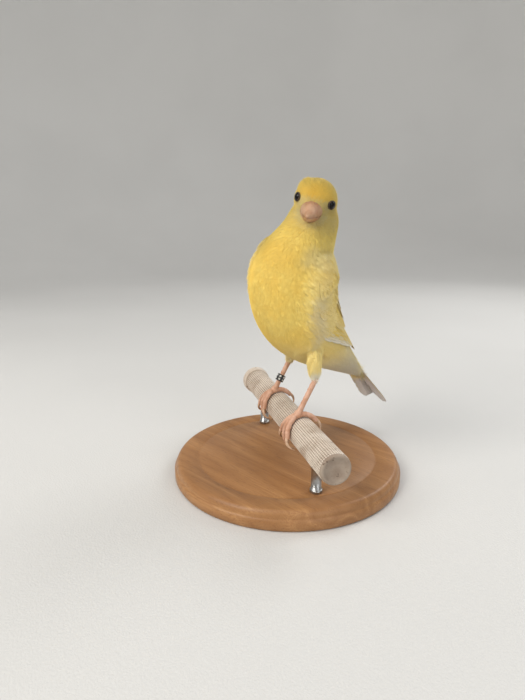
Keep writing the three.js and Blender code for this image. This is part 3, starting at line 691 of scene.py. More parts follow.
def wing_mantle(parts):
    """1 beside a folded wing's upper edge, where the back's feathers lie over it, and 0 far from it."""
    run = (WING_BEND - parts["share"]) / (WING_BEND - WING_TIP)
    gap = 0.28 * (np.interp(run, np.linspace(0, 1, 6), WING_UPPER) - np.degrees(np.abs(parts["turn"])))
    return smooth(7, 2.5, gap) * smooth(-8, -4, gap) * smooth(-0.08, 0.0, run) * smooth(0.75, 0.55, run)


WING_GRID = {side: on_wing(side, *np.meshgrid(np.linspace(0, 1, 41), np.linspace(0, 1, 25), indexing="ij"), 0, 0.6) for side in (1, -1)}


def under_wing(points):
    """Which places on the body the folded wings hide."""
    hidden = np.zeros(len(points), bool)
    for side in (1, -1):
        inner = WING_GRID[side][3:33, 5:20].reshape(-1, 3)
        tree = KDTree(len(inner))
        for k, p in enumerate(inner):
            tree.insert(p, k)
        tree.balance()
        hidden |= np.array([tree.find(p)[2] < 2.6 for p in points])
    return hidden




# %% [markdown]
# ## The lie of the coat
# Every feather points from its root to its tip, along the lie. On the head it runs away from the bill on all
# sides, on the body from head to tail, and on the thighs down the leg. Its length follows the place too: under two
# millimetres at the bill, five or six on the breast, and longest on the rump and under the tail.

# %% Which part of the bird a point is on
BILL_FRONT = on_head(15.0, 0.0, -3.0)
THIGH_LINES = {side: thigh_line(side, np.linspace(0, 1, 25)) for side in (1, -1)}


def thigh_share(points, side):
    """How far down the thigh a point is, and how far it lies off the thigh's middle line over its radius."""
    line, radius = THIGH_LINES[side]
    away = np.linalg.norm(points[:, None] - line[None], axis=-1)
    nearest = away.argmin(1)
    return nearest / 24, away[np.arange(len(points)), nearest] / radius[nearest]


def parts_of(points):
    """For each point: share along the trunk, turn round it, how far it is on the head, and on each thigh."""
    share, turn = trunk_place(points)
    nearest = np.round(share * 160).astype(int)
    off = points - SPINE["middle"][nearest]
    size = SPINE["size"][nearest]
    deep = dot(off, SPINE["dorsal"][nearest]) / np.where(np.cos(turn) > 0, size[:, 1], size[:, 2])
    fill = np.hypot(dot(off, SPINE["left"][nearest]) / size[:, 0], deep)
    headness = smooth(0.72, 0.86, share)
    thighness = np.zeros(len(points))
    down = np.zeros(len(points))
    pull = np.zeros(len(points))
    for side in (1, -1):
        along, off_line = thigh_share(points, side)
        weight = smooth(1.05, 1.4, fill) * smooth(1.7, 1.3, off_line) * smooth(0.45, 0.8, along)
        weight = weight * (headness < 0.1)
        pull = np.maximum(pull, smooth(2.1, 1.0, off_line) * smooth(0.0, 0.4, along) * (headness < 0.1))
        down = np.where(weight > thighness, along, down)
        thighness = np.maximum(thighness, weight)
    return {"share": share, "turn": turn, "head": headness, "thigh": thighness, "down": down, "pull": pull, "nearest": nearest}


def lie_at(points, parts=None):
    """The way that feathers lie at each point, from root to tip."""
    parts = parts or parts_of(points)
    way = -SPINE["along"][parts["nearest"]]
    under_chin = smooth(-4, -8, head_place(points)[2])[:, None]
    from_bill = unit(points - BILL_FRONT - 6 * under_chin * HEAD_UP)
    way = unit(mix(way, from_bill, parts["head"][:, None]))
    left_side = (points @ np.array([1.0, 0, 0]) > 2)[:, None]
    legs = {side: unit(on_shank(side, 0.6) - hip(side)) for side in (1, -1)}
    down_leg = np.where(left_side, legs[1], legs[-1])
    way = mix(way, down_leg, np.maximum(parts["thigh"], parts["pull"])[:, None])
    back_over = 0.9 * wing_pocket(parts)[:, None] * SPINE["dorsal"][parts["nearest"]]
    outwards = 0.6 * (wing_mantle(parts) * np.sign(parts["turn"]))[:, None] * SPINE["left"][parts["nearest"]]
    return unit(way + back_over + outwards)


# %% Eyes' seats
EYE_FORWARD, EYE_UP, EYE_RADIUS, EYE_OPENING = 4.3, 1.2, 2.35, 1.7
EYE_DEPTH = math.sqrt(EYE_RADIUS**2 - EYE_OPENING**2)


def eye_seat(side):
    """Where an eye meets the head's outline, and the way it faces."""
    f, u = EYE_FORWARD / HEAD_FORE, EYE_UP / HEAD_CROWN

    def on(df, du):
        return head_surface(f + df, side * math.sqrt(1 - (f + df) ** 2 - (u + du) ** 2), u + du)

    facing = unit(np.cross(on(0.05, 0) - on(-0.05, 0), on(0, 0.05) - on(0, -0.05)))
    return on(0, 0), facing * (np.sign(facing @ HEAD_LEFT) * side)


# %% How long a feather is
BODY_LENGTHS = np.array([[0, 8.0], [0.1, 7.6], [0.22, 6.2], [0.4, 5.6], [0.6, 4.8], [0.72, 3.9], [0.82, 3.1], [1, 3.0]])


def feather_length(points, parts):
    f, l, u = head_place(points)
    on_body = np.interp(parts["share"], BODY_LENGTHS[:, 0], BODY_LENGTHS[:, 1])
    on_face = mix(2.7, 1.25, smooth(-3, 8, f))
    length = mix(on_body, on_face, smooth(0.74, 0.9, parts["share"]))
    length = mix(length, 7.6, np.maximum(wing_pocket(parts), wing_mantle(parts)))
    length = mix(length, mix(4.4, 2.4, parts["down"]), parts["thigh"])
    for side in (1, -1):
        from_eye = np.linalg.norm(points - eye_seat(side)[0], axis=-1)
        length = length * mix(0.5, 1, smooth(1.8, 5.0, from_eye))
    return length


# %% [markdown]
# ## Markings
# Skin and coat carry the same markings. A colour attribute holds, for each point, how gold, how cream and how
# white the plumage is there, and a tone, partly each feather's own and partly painted shade. The material mixes its
# named colours by them, so the markings are a rule of the bird's own shape: gold on the forehead, a pale ring round
# the bill, cream along the left flank and the wing's lower edge, and white on the vent and the thighs. The tone is
# lowered as painted shade on the sides of the neck, the bird's left cheek and rump, and under the left wing's edge.


# %% Marking rules
def blob(points, centre, radii):
    """1 in the middle of a soft ball, and 0 outside it."""
    away = np.linalg.norm((points - np.asarray(centre, float)) / np.asarray(radii, float), axis=-1)
    return 1 - smooth(0.35, 1.0, away)


def markings(points, parts=None):
    """Gold, cream, white and tone for each point of the plumage; the tone holds painted shade too."""
    parts = parts or parts_of(points)
    share, turn = parts["share"], parts["turn"]
    f, l, u = head_place(points)
    head = smooth(0.76, 0.9, share)
    forehead = smooth(1.0, 7.0, f) * smooth(-0.8, 3.0, u) * smooth(9.5, 6.0, u)
    crown = smooth(2.0, 8.0, u)
    gold = head * np.clip(0.6 * forehead + 0.1 * crown + 0.12, 0, 1)
    front = smooth(1.3, 2.6, np.abs(turn))
    right_side = smooth(0.2, -1.2, np.sin(turn))
    gold = np.maximum(gold, (1 - head) * front * right_side * 0.55 * smooth(0.2, 0.34, share))
    gold = np.maximum(gold, (1 - head) * front * 0.35 * smooth(0.62, 0.7, share) * smooth(0.8, 0.72, share))
    round_bill = np.hypot(l / 1.1, u + 2.6)
    lores = smooth(3.2, 5.4, f) * smooth(6.6, 4.4, round_bill) * smooth(2.6, 1.0, u)
    chin = smooth(2.0, 5.0, f) * smooth(-2.5, -4.5, u) * 0.35
    eyes = sum(smooth(4.6, 2.6, np.linalg.norm(points - eye_seat(side)[0], axis=-1)) for side in (1, -1))
    cream = head * np.clip(0.08 + 0.45 * lores + chin + 0.3 * eyes * smooth(2.6, 0.6, u), 0, 1)
    flank = smooth(0.72, 0.98, np.sin(turn)) * smooth(0.26, 0.36, share) * smooth(0.74, 0.62, share)
    cream = np.maximum(cream, 0.6 * flank)
    collar = smooth(0.5, 0.9, np.sin(turn)) * smooth(0.66, 0.71, share) * smooth(0.8, 0.74, share)
    cream = np.maximum(cream, 0.55 * collar)
    cream = np.maximum(cream, 0.3 * (1 - head) * (1 - front))
    pocket = wing_pocket(parts)
    cream = np.maximum(cream, np.where(turn < 0, 0.75, 0.3) * pocket)
    cream = np.maximum(cream, (1 - head) * (0.12 + 0.48 * front * smooth(0.48, 0.36, share)))
    cream = np.maximum(cream, 0.8 * parts["thigh"])
    white = smooth(0.36, 0.14, share) * smooth(0.9, 1.6, np.abs(turn))
    white = np.maximum(white, np.where(turn < 0, 0.12, 0.08) * pocket)
    band = wing_fringe_and_shade(parts)
    white = np.maximum(white, 0.6 * band)
    white = np.maximum(white * 0.8, parts["thigh"] * mix(0.25, 0.95, smooth(0.5, 0.85, parts["down"])))
    left = np.sin(turn)
    # Tone: lower over the whole head, more on the crown and less on the forehead; the term on the bird's left cheek is
    # painted shade.
    tone = 0.84 - head * (0.36 - 0.2 * forehead + 0.42 * smooth(3.0, 8.0, u) + 0.3 * smooth(1.5, 6.0, l) * smooth(3, -2, u) + 0.12 * lores)
    # Painted shade on both sides of the neck under the turned head, darkest on the bird's right side.
    neck = smooth(0.64, 0.74, share) * (1 - 0.5 * head)
    tone = tone - neck * (0.02 + 0.35 * smooth(0.5, 1.0, left) + 0.75 * smooth(-0.1, -0.9, left))
    # Painted shade: a darker tone on the bird's left rump, and on the pale band along the left wing's lower edge.
    tone = tone - 0.5 * smooth(0.34, 0.18, share) * smooth(-0.2, 0.6, left) - 0.3 * band
    return np.stack([gold, cream, white, tone], -1)


skin.data.attributes.new("marking", "FLOAT_COLOR", "POINT").data.foreach_set(
    "color", markings(skin_points).astype(np.float32).ravel()
)


# %% [markdown]
# ## Where the feathers grow
# Roots are scattered over the skin so that no two are nearer than a share of their own length, as real feather
# tracts are. Many places are tried in a seeded order, and each that is taken clears the ones too near to it.

# %% Scatter the roots
ROOT_SPACING = {"body": 0.165, "head": 0.25}  # of a feather's length


def scatter(points, polygons, length_of, spacing_of, seed, tries, keep=None):
    """Root places on a surface, with each one's feather length."""
    rng = np.random.default_rng(seed)
    triangles = np.array([t for p in polygons for t in ((p[0], p[1], p[2]), (p[0], p[2], p[3]))[: len(p) - 2]])
    a, b, c = (points[triangles[:, k]] for k in range(3))
    area = np.linalg.norm(np.cross(b - a, c - a), axis=-1) / 2
    spacing = spacing_of((a + b + c) / 3)
    weight = area / spacing**2
    chosen = rng.choice(len(triangles), tries, p=weight / weight.sum())
    r, s = np.sqrt(rng.random(tries)), rng.random(tries)
    places = a[chosen] * (1 - r)[:, None] + b[chosen] * (r * (1 - s))[:, None] + c[chosen] * (r * s)[:, None]
    if keep is not None:
        places = places[keep(places)]
    lengths, apart = length_of(places), spacing_of(places)
    tree = KDTree(len(places))
    for k, p in enumerate(places):
        tree.insert(p, k)
    tree.balance()
    taken, gone = [], np.zeros(len(places), bool)
    for k in range(len(places)):
        if gone[k]:
            continue
        taken.append(k)
        for _, near, _ in tree.find_range(places[k], apart[k]):
            gone[near] = True
    print("roots", len(taken), "of", len(places), "area mm2", round(area.sum()))
    return places[taken], lengths[taken]


# %% [markdown]
# ## One small feather
# A small feather is a closed, slightly cupped vane with many loose barbs that end all over its outer half. Its shaft
# is walked over the surface from root to tip, always along the lie, and rises a little on the way, so feathers
# overlap like tiles and only their soft ends show. Where the surface ends, as under the tail, the feather
# goes straight on. Each one has two dozen faces for its vane and four for each barb.

# %% Walk a shaft over the surface
SHAFT_STEPS = 5


def walk(ground, roots, lengths, lie, rng, stray=0.12):
    """Each feather's shaft as places, normals and sideways directions, from root to tip."""
    place, normal, _ = ground.nearest(roots)
    way = lie(place)
    twist = rng.normal(0, stray, len(roots))[:, None]
    way = unit(way + twist * np.cross(normal, way))
    step = (lengths / (SHAFT_STEPS - 1))[:, None]
    places, normals, ways = [place], [normal], []
    for _ in range(SHAFT_STEPS - 1):
        way = unit(way - dot(way, normal)[:, None] * normal)
        ways.append(way)
        ahead = place + way * step
        on, found, far = ground.nearest(ahead)
        lost = (far > 0.3 * step[:, 0])[:, None]
        place = np.where(lost, ahead, on)
        normal = np.where(lost, normal, unit(mix(normal, found, 0.85)))
        way = np.where(lost, way, unit(way + 0.6 * lie(place)))
        places.append(place)
        normals.append(normal)
    ways.append(ways[-1])
    places, normals, ways = (np.stack(x, 1) for x in (places, normals, ways))
    return {"place": places, "normal": normals, "way": ways, "side": unit(np.cross(ways, normals)), "length": lengths}


def on_shaft(shaft, u, v, h):
    """Points at share u of the length, v mm to the side and h mm over the surface. u may pass 1."""
    last = SHAFT_STEPS - 1
    place = np.clip(u, 0, 1) * last
    step = np.minimum(place.astype(int), last - 1)
    t = (place - step)[..., None]

    def at(name):
        values = shaft[name]
        rows = np.arange(len(values))[:, None]
        return mix(values[rows, step], values[rows, step + 1], t)

    past = (np.maximum(u - 1, 0) * shaft["length"][:, None])[..., None]
    return at("place") + at("way") * past + at("side") * v[..., None] + at("normal") * h[..., None]


# %% Build feathers
VANE_PLACES = np.array([0.0, 0.25, 0.48])
VANE_WIDTHS = np.array([0.35, 0.7, 0.55])
VANE_THICK = 0.035
RING_V = np.array([-1.0, 0.0, 1.0, 0.0])  # left edge, top, right edge, underside
RING_H = np.array([0.0, 1.0, 0.0, -1.0])
# A barb is a needle: left, top and right at its root, and its tip
BARB_RUN = np.array([0.0, 0.12, 0.0, 1.0])
BARB_WIDE = np.array([-1.0, 0.0, 1.0, 0.0])
BARB_HIGH = np.array([0.0, 1.0, 0.0, 0.3])
BARB_THICK = 0.025
BARB_FACES = np.array([[0, 1, 3], [1, 2, 3], [2, 0, 3], [2, 1, 0]])
SINK, SUNK_LENGTH = 0.25, 4.0  # of a feather's root under the skin, less where it is shorter than the length
CAMBER = 0.05  # how far a feather's edges lie lower than its middle, over half its width


def feathers(shaft, half, lift, seed, barbs, fluff=None, root_uv=None, patch=0.003):
    """Points, faces, map places and the feather that each point belongs to, for a whole tract of feathers."""
    rng = np.random.default_rng(seed)
    n = len(half)
    length = shaft["length"][:, None]
    fluff = (np.zeros(n) if fluff is None else fluff)[:, None]

    def rise(u):
        return -SINK * np.minimum(1, length / SUNK_LENGTH) ** 2 * (1 - np.clip(u, 0, 1)) ** 2 + lift[:, None] * np.clip(u, 0, 1.5) ** 0.8

    # The vane: a pole, rings of four and a pole
    rings = len(VANE_PLACES)
    u = np.concatenate([[-0.02], np.repeat(VANE_PLACES, 4), [0.6]])
    v = np.concatenate([[0], np.outer(VANE_WIDTHS, RING_V).ravel(), [0]])
    thick = np.concatenate([[0], np.outer(np.full(rings, VANE_THICK), RING_H).ravel(), [0]])
    grid_u, grid_v = np.tile(u, (n, 1)), half[:, None] * v
    droop = CAMBER * half[:, None] * v**2 + 0.1
    points = on_shaft(shaft, grid_u, grid_v, rise(grid_u) + thick - droop)
    quads, caps = tube_faces(rings, 4)
    first = (np.arange(n) * len(u))[:, None, None]
    blocks = [(quads[None] + first).reshape(-1, 4), (caps[None] + first).reshape(-1, 3)]
    # The barbs: needles from beside the shaft to all over the rounded end
    angle = (np.linspace(-1, 1, barbs)[None] + rng.normal(0, 0.07, (n, barbs))) * 1.35
    reach = rng.uniform(0.5, 1.12, (n, barbs)) + 0.25 * fluff * rng.random((n, barbs))
    end_u, end_v = 0.6 + 0.46 * np.cos(angle) * reach, 1.0 * np.sin(angle) * reach
    start_u, start_v = end_u - rng.uniform(0.4, 0.58, (n, barbs)), 0.5 * end_v
    width = 1.5 * half[:, None] / barbs * rng.uniform(0.75, 1.25, (n, barbs))
    aim = np.arctan2((end_v - start_v) * half[:, None], (end_u - start_u) * length)
    barb_u = start_u[..., None] + (end_u - start_u)[..., None] * BARB_RUN - BARB_WIDE * (width * np.sin(aim) / length)[..., None]
    barb_v = start_v[..., None] + (end_v - start_v)[..., None] * BARB_RUN + BARB_WIDE * (width * np.cos(aim) / half[:, None])[..., None]
    up = rng.uniform(-0.02, 0.07, (n, barbs)) + fluff * rng.uniform(0.0, 0.5, (n, barbs)) ** 1.5
    barb_u, barb_v = barb_u.reshape(n, -1), barb_v.reshape(n, -1)
    droop = CAMBER * half[:, None] * np.clip(barb_v, -1.2, 1.2) ** 2 + 0.03
    high = np.tile(BARB_HIGH * BARB_THICK, barbs)[None] + (up[..., None] * BARB_RUN).reshape(n, -1)
    barb_points = on_shaft(shaft, barb_u, barb_v * half[:, None], rise(barb_u) - droop + high)
    offset = n * len(u) + (np.arange(n * barbs) * 4)[:, None, None]
    blocks.append((BARB_FACES[None] + offset).reshape(-1, 3))
    owner = np.concatenate([np.repeat(np.arange(n), len(u)), np.repeat(np.arange(n), barbs * 4)])
    all_u = np.concatenate([grid_u.ravel(), barb_u.ravel()])
    all_v = np.concatenate([np.tile(v, n), barb_v.ravel()])
    uv_maps = {"vane": np.stack([all_u * shaft["length"][owner], all_v * half[owner]], -1)}
    if root_uv is not None:
        uv_maps["OFBake"] = root_uv[owner] + patch * np.stack([all_v * 0.42, all_u - 0.5], -1)
    return np.concatenate([points.reshape(-1, 3), barb_points.reshape(-1, 3)]), blocks, uv_maps, owner, all_u


# %% [markdown]
# ## Dressing the body
# The roots are thinned out where nothing grows, over the eyes and under the bill's horn, and where the folded
# wings hide the flank. The coat is built in a few pieces, each of one region of the body, and every feather gets
# a small patch of its own on an unwrap of the skin, so its colours can be baked.

# %% An unwrap of the skin
def unwrap(points, parts):
    """A place on a flat map for each root: the trunk, the head and each thigh have a field of their own."""
    trunk_uv = np.stack([0.02 + 0.6 * (parts["turn"] / (2 * np.pi) + 0.5), 0.03 + 0.94 * parts["share"]], -1)
    f, l, u = head_place(points)
    from_back = np.arccos(np.clip(-f / np.maximum(np.sqrt(f * f + l * l + u * u), 1e-6), -1, 1)) / np.pi
    around = np.arctan2(l, u)
    head_uv = np.stack([0.82 + 0.165 * from_back * np.sin(around), 0.8 + 0.165 * from_back * np.cos(around)], -1)
    off = points - HEAD_AT
    leg_turn = (np.arctan2(off[:, 0], off[:, 1]) / (2 * np.pi) + 0.5) * 0.3
    leg_low = np.where(points[:, 0] > 2, 0.04, 0.3)
    leg_uv = np.stack([0.68 + leg_turn, leg_low + 0.22 * parts["down"]], -1)
    uv = np.where((parts["share"] > 0.84)[:, None], head_uv, trunk_uv)
    return np.where((parts["thigh"] > 0.5)[:, None], leg_uv, uv)


# %% Plant the coat
def free_of_face(points):
    """True where feathers grow: not over the eyes and not under the bill's horn."""
    f, l, u = head_place(points)
    bill = (f > 4.0) & (np.hypot(l / 3.5, (u + 2.8) / 3.4) < 1)
    eyes = np.zeros(len(points), bool)
    for side in (1, -1):
        eyes |= np.linalg.norm(points - eye_seat(side)[0], axis=-1) < 1.6
    return ~bill & ~eyes


def keep_root(points):
    parts = parts_of(points)
    return free_of_face(points) & ~(under_wing(points) & (parts["share"] < 0.7)) & (parts["share"] > 0.01)


def coat_length(points):
    return feather_length(points, parts_of(points))


def coat_spacing(points):
    parts = parts_of(points)
    headness = smooth(0.7, 0.82, parts["share"])
    over_wing = np.maximum(wing_pocket(parts), wing_mantle(parts))
    return mix(ROOT_SPACING["body"], ROOT_SPACING["head"], headness) * feather_length(points, parts) * mix(1, 0.68, over_wing)


coat_roots, coat_lengths = scatter(skin_points, skin_polygons, coat_length, coat_spacing, 11, 90000, keep_root)

# %% Grow the coat
BARBS = {"body": 36, "head": 24, "wing": 26}
POCKET_RISE, MANTLE_RISE = 3.1, 2.7


def coat_rise(points, parts):
    """How far a feather's end stands off the skin: nearly the coat's depth."""
    f, l, u = head_place(points)
    on_face = mix(0.6, 0.36, smooth(0, 8, f))
    rise = mix(0.6, on_face, smooth(0.76, 0.9, parts["share"]))
    shoulder = np.where(parts["turn"] < 0, 1.0, 0.0) * smooth(0.56, 0.63, parts["share"])
    for side in (1, -1):
        rise = rise + 0.4 * blob(points, eye_seat(side)[0], (3.0, 3.0, 3.0))
    rise = rise + 0.95 * blob(points, on_head(2.0, -6.2, 6.0), (4.2, 4.2, 4.2))
    rise = mix(rise, POCKET_RISE + shoulder, wing_pocket(parts))
    rise = mix(rise, MANTLE_RISE, wing_mantle(parts))
    return mix(rise, 0.6, parts["thigh"]) + 0.5 * parts["pull"] * (1 - parts["thigh"])


def region_of(points, parts):
    f, l, u = head_place(points)
    region = np.full(len(points), "coat_breast_left", dtype="<U20")
    region[np.abs(parts["turn"]) < 1.45] = "coat_back"
    region[parts["turn"] < -1.45] = "coat_breast_right"
    region[(parts["share"] < 0.4) & (np.abs(parts["turn"]) >= 1.45)] = "coat_belly"
    region[parts["share"] > 0.7] = "coat_neck"
    region[parts["share"] > 0.82] = "coat_crown"
    region[(parts["share"] > 0.82) & (u < 1.2)] = "coat_face"
    region[parts["thigh"] > 0.5] = "coat_thighs"
    return region


def grow(name, ground, roots, lengths, lie, rise, seed, slender=0.3, fluff=None, root_uv=None, marks=None, barbs=BARBS["wing"]):
    """One tract of small feathers as a piece."""
    rng = np.random.default_rng(seed)
    lengths = lengths * rng.uniform(0.88, 1.12, len(lengths))
    shaft = walk(ground, roots, lengths, lie, rng)
    half = lengths * slender * rng.uniform(0.9, 1.1, len(lengths))
    lift = rise * rng.uniform(0.94, 1.06, len(lengths))
    points, blocks, maps, owner, u = feathers(shaft, half, lift, seed + 1, barbs, fluff, root_uv)
    marks = marks.copy()
    marks[:, 3] = np.clip(marks[:, 3] + rng.normal(0, 0.045, len(lengths)), 0, 1)
    colours = np.column_stack([marks[owner, :3], marks[owner, 3]])
    # Vanes are shaded smooth and barbs flat, since a smooth needle would be shaded by its underside too.
    round_faces = np.concatenate([np.full(len(b), k < 2) for k, b in enumerate(blocks)])
    piece = make_piece(name, points, blocks, maps, {"marking": colours, "tip": np.clip(u, 0, 1)}, round_faces)
    triangles = sum(len(b) * (b.shape[1] - 2) for b in blocks)
    print(name, len(roots), "feathers,", triangles, "triangles")
    return piece


coat_parts = parts_of(coat_roots)
coat_regions = region_of(coat_roots, coat_parts)
coat_marks = markings(coat_roots + np.random.default_rng(5).normal(0, 0.35, coat_roots.shape), coat_parts)
coat_uv = unwrap(coat_roots, coat_parts)
coat_stand = coat_rise(coat_roots, coat_parts)
coat_fluff = np.maximum(np.maximum(coat_parts["thigh"], 0.5 * coat_parts["pull"]), smooth(0.26, 0.12, coat_parts["share"]) * 1.4)
coat_fluff = np.maximum(coat_fluff, 0.6 * wing_pocket(coat_parts))
neck_side = smooth(0.62, 0.7, coat_parts["share"]) * smooth(0.0, -0.5, np.sin(coat_parts["turn"])) * (1 - coat_parts["head"])
coat_fluff = np.maximum(coat_fluff, 0.6 * neck_side)
coat_fluff = np.maximum(coat_fluff, 0.9 * blob(coat_roots, on_head(1.0, -6.6, 6.6), (3.5, 3.5, 3.5)))
coat_pieces = []
for order, region in enumerate(sorted(set(coat_regions))):
    at = coat_regions == region
    coat_pieces.append(
        grow(
            region, body_ground, coat_roots[at], coat_lengths[at], lie_at, coat_stand[at], 40 + order,
            fluff=coat_fluff[at], root_uv=coat_uv[at], marks=coat_marks[at],
            barbs=BARBS["head" if region in ("coat_face", "coat_crown") else "body"],
        )
    )

# %% [markdown]
# ## Long feathers
# A long feather is one closed plate: a top sheet and an underside that share their edge, so it is thin at the rim
# and thicker along its shaft. A rule for the place of each point bends it over the body, and small nicks in its edge
# keep it from looking cut with scissors. Wing and tail use the same maker with their own rules.

# %% The long feather
RIDGE_APART = 1.25
FLIGHT_OUTLINE = np.array([[0, 0.55], [0.15, 0.86], [0.5, 1.0], [0.8, 0.93], [0.92, 0.74], [0.98, 0.42], [1.0, 0.16]])


def long_feather(place, half, length, rows, columns, rng, shaft_at=-0.3, web=0.05, quill=0.16, nicks=2, outline=FLIGHT_OUTLINE):
    """A plate set out by place(u, sideways, height). Returns points, faces, map places and each point's u and v."""
    u = np.linspace(0, 1, rows + 1) ** 0.85
    v = np.linspace(-1, 1, columns + 1)
    uu, vv = np.meshgrid(u, v, indexing="ij")
    reach = np.interp(uu, outline[:, 0], outline[:, 1])
    for _ in range(nicks):
        at, edge = rng.uniform(0.45, 0.93), rng.choice([-1, 1], p=[0.25, 0.75])
        reach = reach - 0.22 * np.exp(-(((uu - at) / 0.018) ** 2)) * (vv * edge > 0.6)
    reach = reach * (1 - 0.05 * np.abs(vv) * (0.5 + 0.5 * np.sin(uu * length * 5.0 + rng.uniform(0, 6))))
    across = vv * half * reach
    from_shaft = across - shaft_at * half * (1 - 0.6 * uu)
    body = np.sqrt(np.clip(1 - vv**2, 0, 1)) * np.sqrt(np.clip(1 - (2 * uu - 1) ** 8, 0, 1))
    thick = body * (web + quill * np.exp(-((from_shaft / 0.22) ** 2)) * (1 - 0.75 * uu))
    # Barbs run forwards and outwards from the shaft, as fine ridges, and part here and there at the edge.
    ridge = np.sin(2 * np.pi * (uu * length - 1.1 * np.abs(from_shaft)) / RIDGE_APART)
    wave = 0.05 * np.sin(uu * 31 + vv * 2.1 + rng.uniform(0, 6)) * np.abs(vv) + 0.018 * ridge * (1 - vv**4)
    top = place(uu, across, thick + wave)
    low = place(uu, across, -0.6 * thick + wave)
    index = np.arange((rows + 1) * (columns + 1)).reshape(rows + 1, columns + 1)
    under = index.copy()
    inner = (rows - 1) * (columns - 1)
    under[1:-1, 1:-1] = index.size + np.arange(inner).reshape(rows - 1, columns - 1)

    def quads(grid):
        return np.stack([grid[:-1, :-1], grid[:-1, 1:], grid[1:, 1:], grid[1:, :-1]], -1).reshape(-1, 4)

    points = np.concatenate([top.reshape(-1, 3), low[1:-1, 1:-1].reshape(-1, 3)])
    both = lambda grid: np.concatenate([grid.ravel(), grid[1:-1, 1:-1].ravel()])
    vane_uv = np.stack([both(uu) * length, both(from_shaft)], -1)
    return points, [quads(index), quads(under)[:, ::-1]], vane_uv, both(uu), both(vv)


def bunch(name, made, marks_of, material, slot, *nodes):
    """Joins long feathers into one piece. Each has a field of its own on the bake map."""
    columns = math.ceil(math.sqrt(len(made)))
    points, blocks = gather([(m[0], m[1]) for m in made])
    vane_uv = np.concatenate([m[2] for m in made])
    bake_uv, marks, tips = [], [], []
    for k, (_, _, _, u, v) in enumerate(made):
        corner = np.array([k % columns, k // columns]) / columns
        bake_uv.append(corner + np.stack([0.5 + 0.4 * v, 0.06 + 0.88 * u], -1) / columns)
        marks.append(marks_of(k, u, v))
        tips.append(u)
    piece = make_piece(
        name, points, blocks, {"vane": vane_uv, "OFBake": np.concatenate(bake_uv)},
        {"marking": np.concatenate(marks), "tip": np.concatenate(tips)},
    )
    face_outwards(piece)
    return finished(piece, material, slot, *nodes)


def face_outwards(piece):
    shell = bmesh.new()
    shell.from_mesh(piece.data)
    bmesh.ops.recalc_face_normals(shell, faces=shell.faces)
    shell.to_mesh(piece.data)
    shell.free()


# %% The wings
WING_ROLL = 0.09
# Each tier: how many feathers, root and tip (run, across) of the first and the last, height at root and tip, half-widths
TIERS = {
    "primaries": (8, (0.42, 0.08), (0.42, 0.34), (0.84, 0.10), (1.0, 0.42), (0.3, 0.9), (1.7, 1.9)),
    "secondaries": (7, (0.36, 0.26), (0.34, 0.66), (0.66, 0.34), (0.76, 0.70), (0.3, 1.0), (1.9, 2.1)),
    "tertials": (3, (0.30, 0.58), (0.26, 0.79), (0.66, 0.62), (0.54, 0.80), (0.45, 1.25), (2.6, 2.7)),
    "greater_coverts": (10, (0.24, 0.14), (0.20, 0.84), (0.47, 0.15), (0.40, 0.86), (0.3, 1.7), (1.8, 2.1)),
    "median_coverts": (11, (0.15, 0.14), (0.12, 0.84), (0.31, 0.15), (0.27, 0.86), (0.4, 2.1), (1.6, 1.8)),
}


def wing_feathers(side, tier, rng):
    count, first_root, last_root, first_tip, last_tip, high, halves = TIERS[tier]
    made = []
    for k in range(count):
        share = k / (count - 1)
        root = mix(np.array(first_root), np.array(last_root), share)
        tip = mix(np.array(first_tip), np.array(last_tip), share) + rng.normal(0, 0.006, 2)
        ends = on_wing(side, np.array([root[0], tip[0]]), np.array([root[1], tip[1]]), 0, 1)
        length = np.linalg.norm(ends[1] - ends[0])

        def place(u, sideways, height):
            up = mix(high[0], high[1], u) + height - WING_ROLL * sideways
            return on_wing(side, mix(root[0], tip[0], u), mix(root[1], tip[1], u), sideways, up)

        half = mix(halves[0], halves[1], share)
        big = tier in ("primaries", "secondaries", "tertials")
        made.append(long_feather(place, half, length, 64 if big else 40, 14, rng, nicks=3 if big else 2))
    return made


def wing_marks(tier):
    """Flight feathers are whitish with a yellow outer edge, and coverts are yellow with a paler end."""

    def marks_of(k, u, v):
        if tier in ("primaries", "secondaries", "tertials"):
            edge = smooth(-0.15, -0.75, v) * smooth(1.0, 0.6, u)
            white = (0.3 if tier == "primaries" else 0.05) * (1 - edge)
            gold = 0.6 + 0.2 * edge
        else:
            white = 0.02 + 0.14 * smooth(0.7, 1.0, u)
            gold = np.full(len(u), 0.6)
        lowest = max(0, 1 - k / 3)  # the wing's lower edge is pale
        if tier == "primaries":
            white, gold = mix(white, 0.9, lowest), gold * (1 - lowest)
        white = white + (0.8 - white) * 0.25 * lowest
        # The low tone of every wing feather is painted shade, so the folded wing reads darker than the coat.
        tone = 0.31 + 0.05 * math.sin(k * 2.3)
        return np.stack([gold, np.full(len(u), 0.04), white, np.full(len(u), tone)], -1)

    return marks_of


ARM_STATIONS = np.array([[0.01, 0.5, 1.0], [0.05, 0.8, 1.8], [0.17, 1, 2.0], [0.27, 1, 1.0], [0.42, 0.94, 0.6], [0.64, 0.8, 0.4], [0.84, 0.6, 0.3]])
ARM_DEPTH = 0.9


def arm_grid(side, rows, columns):
    """The top of the arm: places, and the way towards the wing's tip."""
    run, share = np.meshgrid(np.linspace(0.01, 0.84, rows), np.linspace(0, 1, columns), indexing="ij")
    full = np.interp(run, ARM_STATIONS[:, 0], ARM_STATIONS[:, 1])
    high = np.interp(run, ARM_STATIONS[:, 0], ARM_STATIONS[:, 2])
    across = mix(0.5 - 0.48 * full, 0.5 + 0.46 * full, share)
    up = high * np.sqrt(np.sin(np.pi * mix(0.04, 0.96, share))) - ARM_DEPTH * smooth(0.0, 0.1, 1 - run)
    return on_wing(side, run, across, 0, up), on_wing(side, run, across, 0, -0.8)


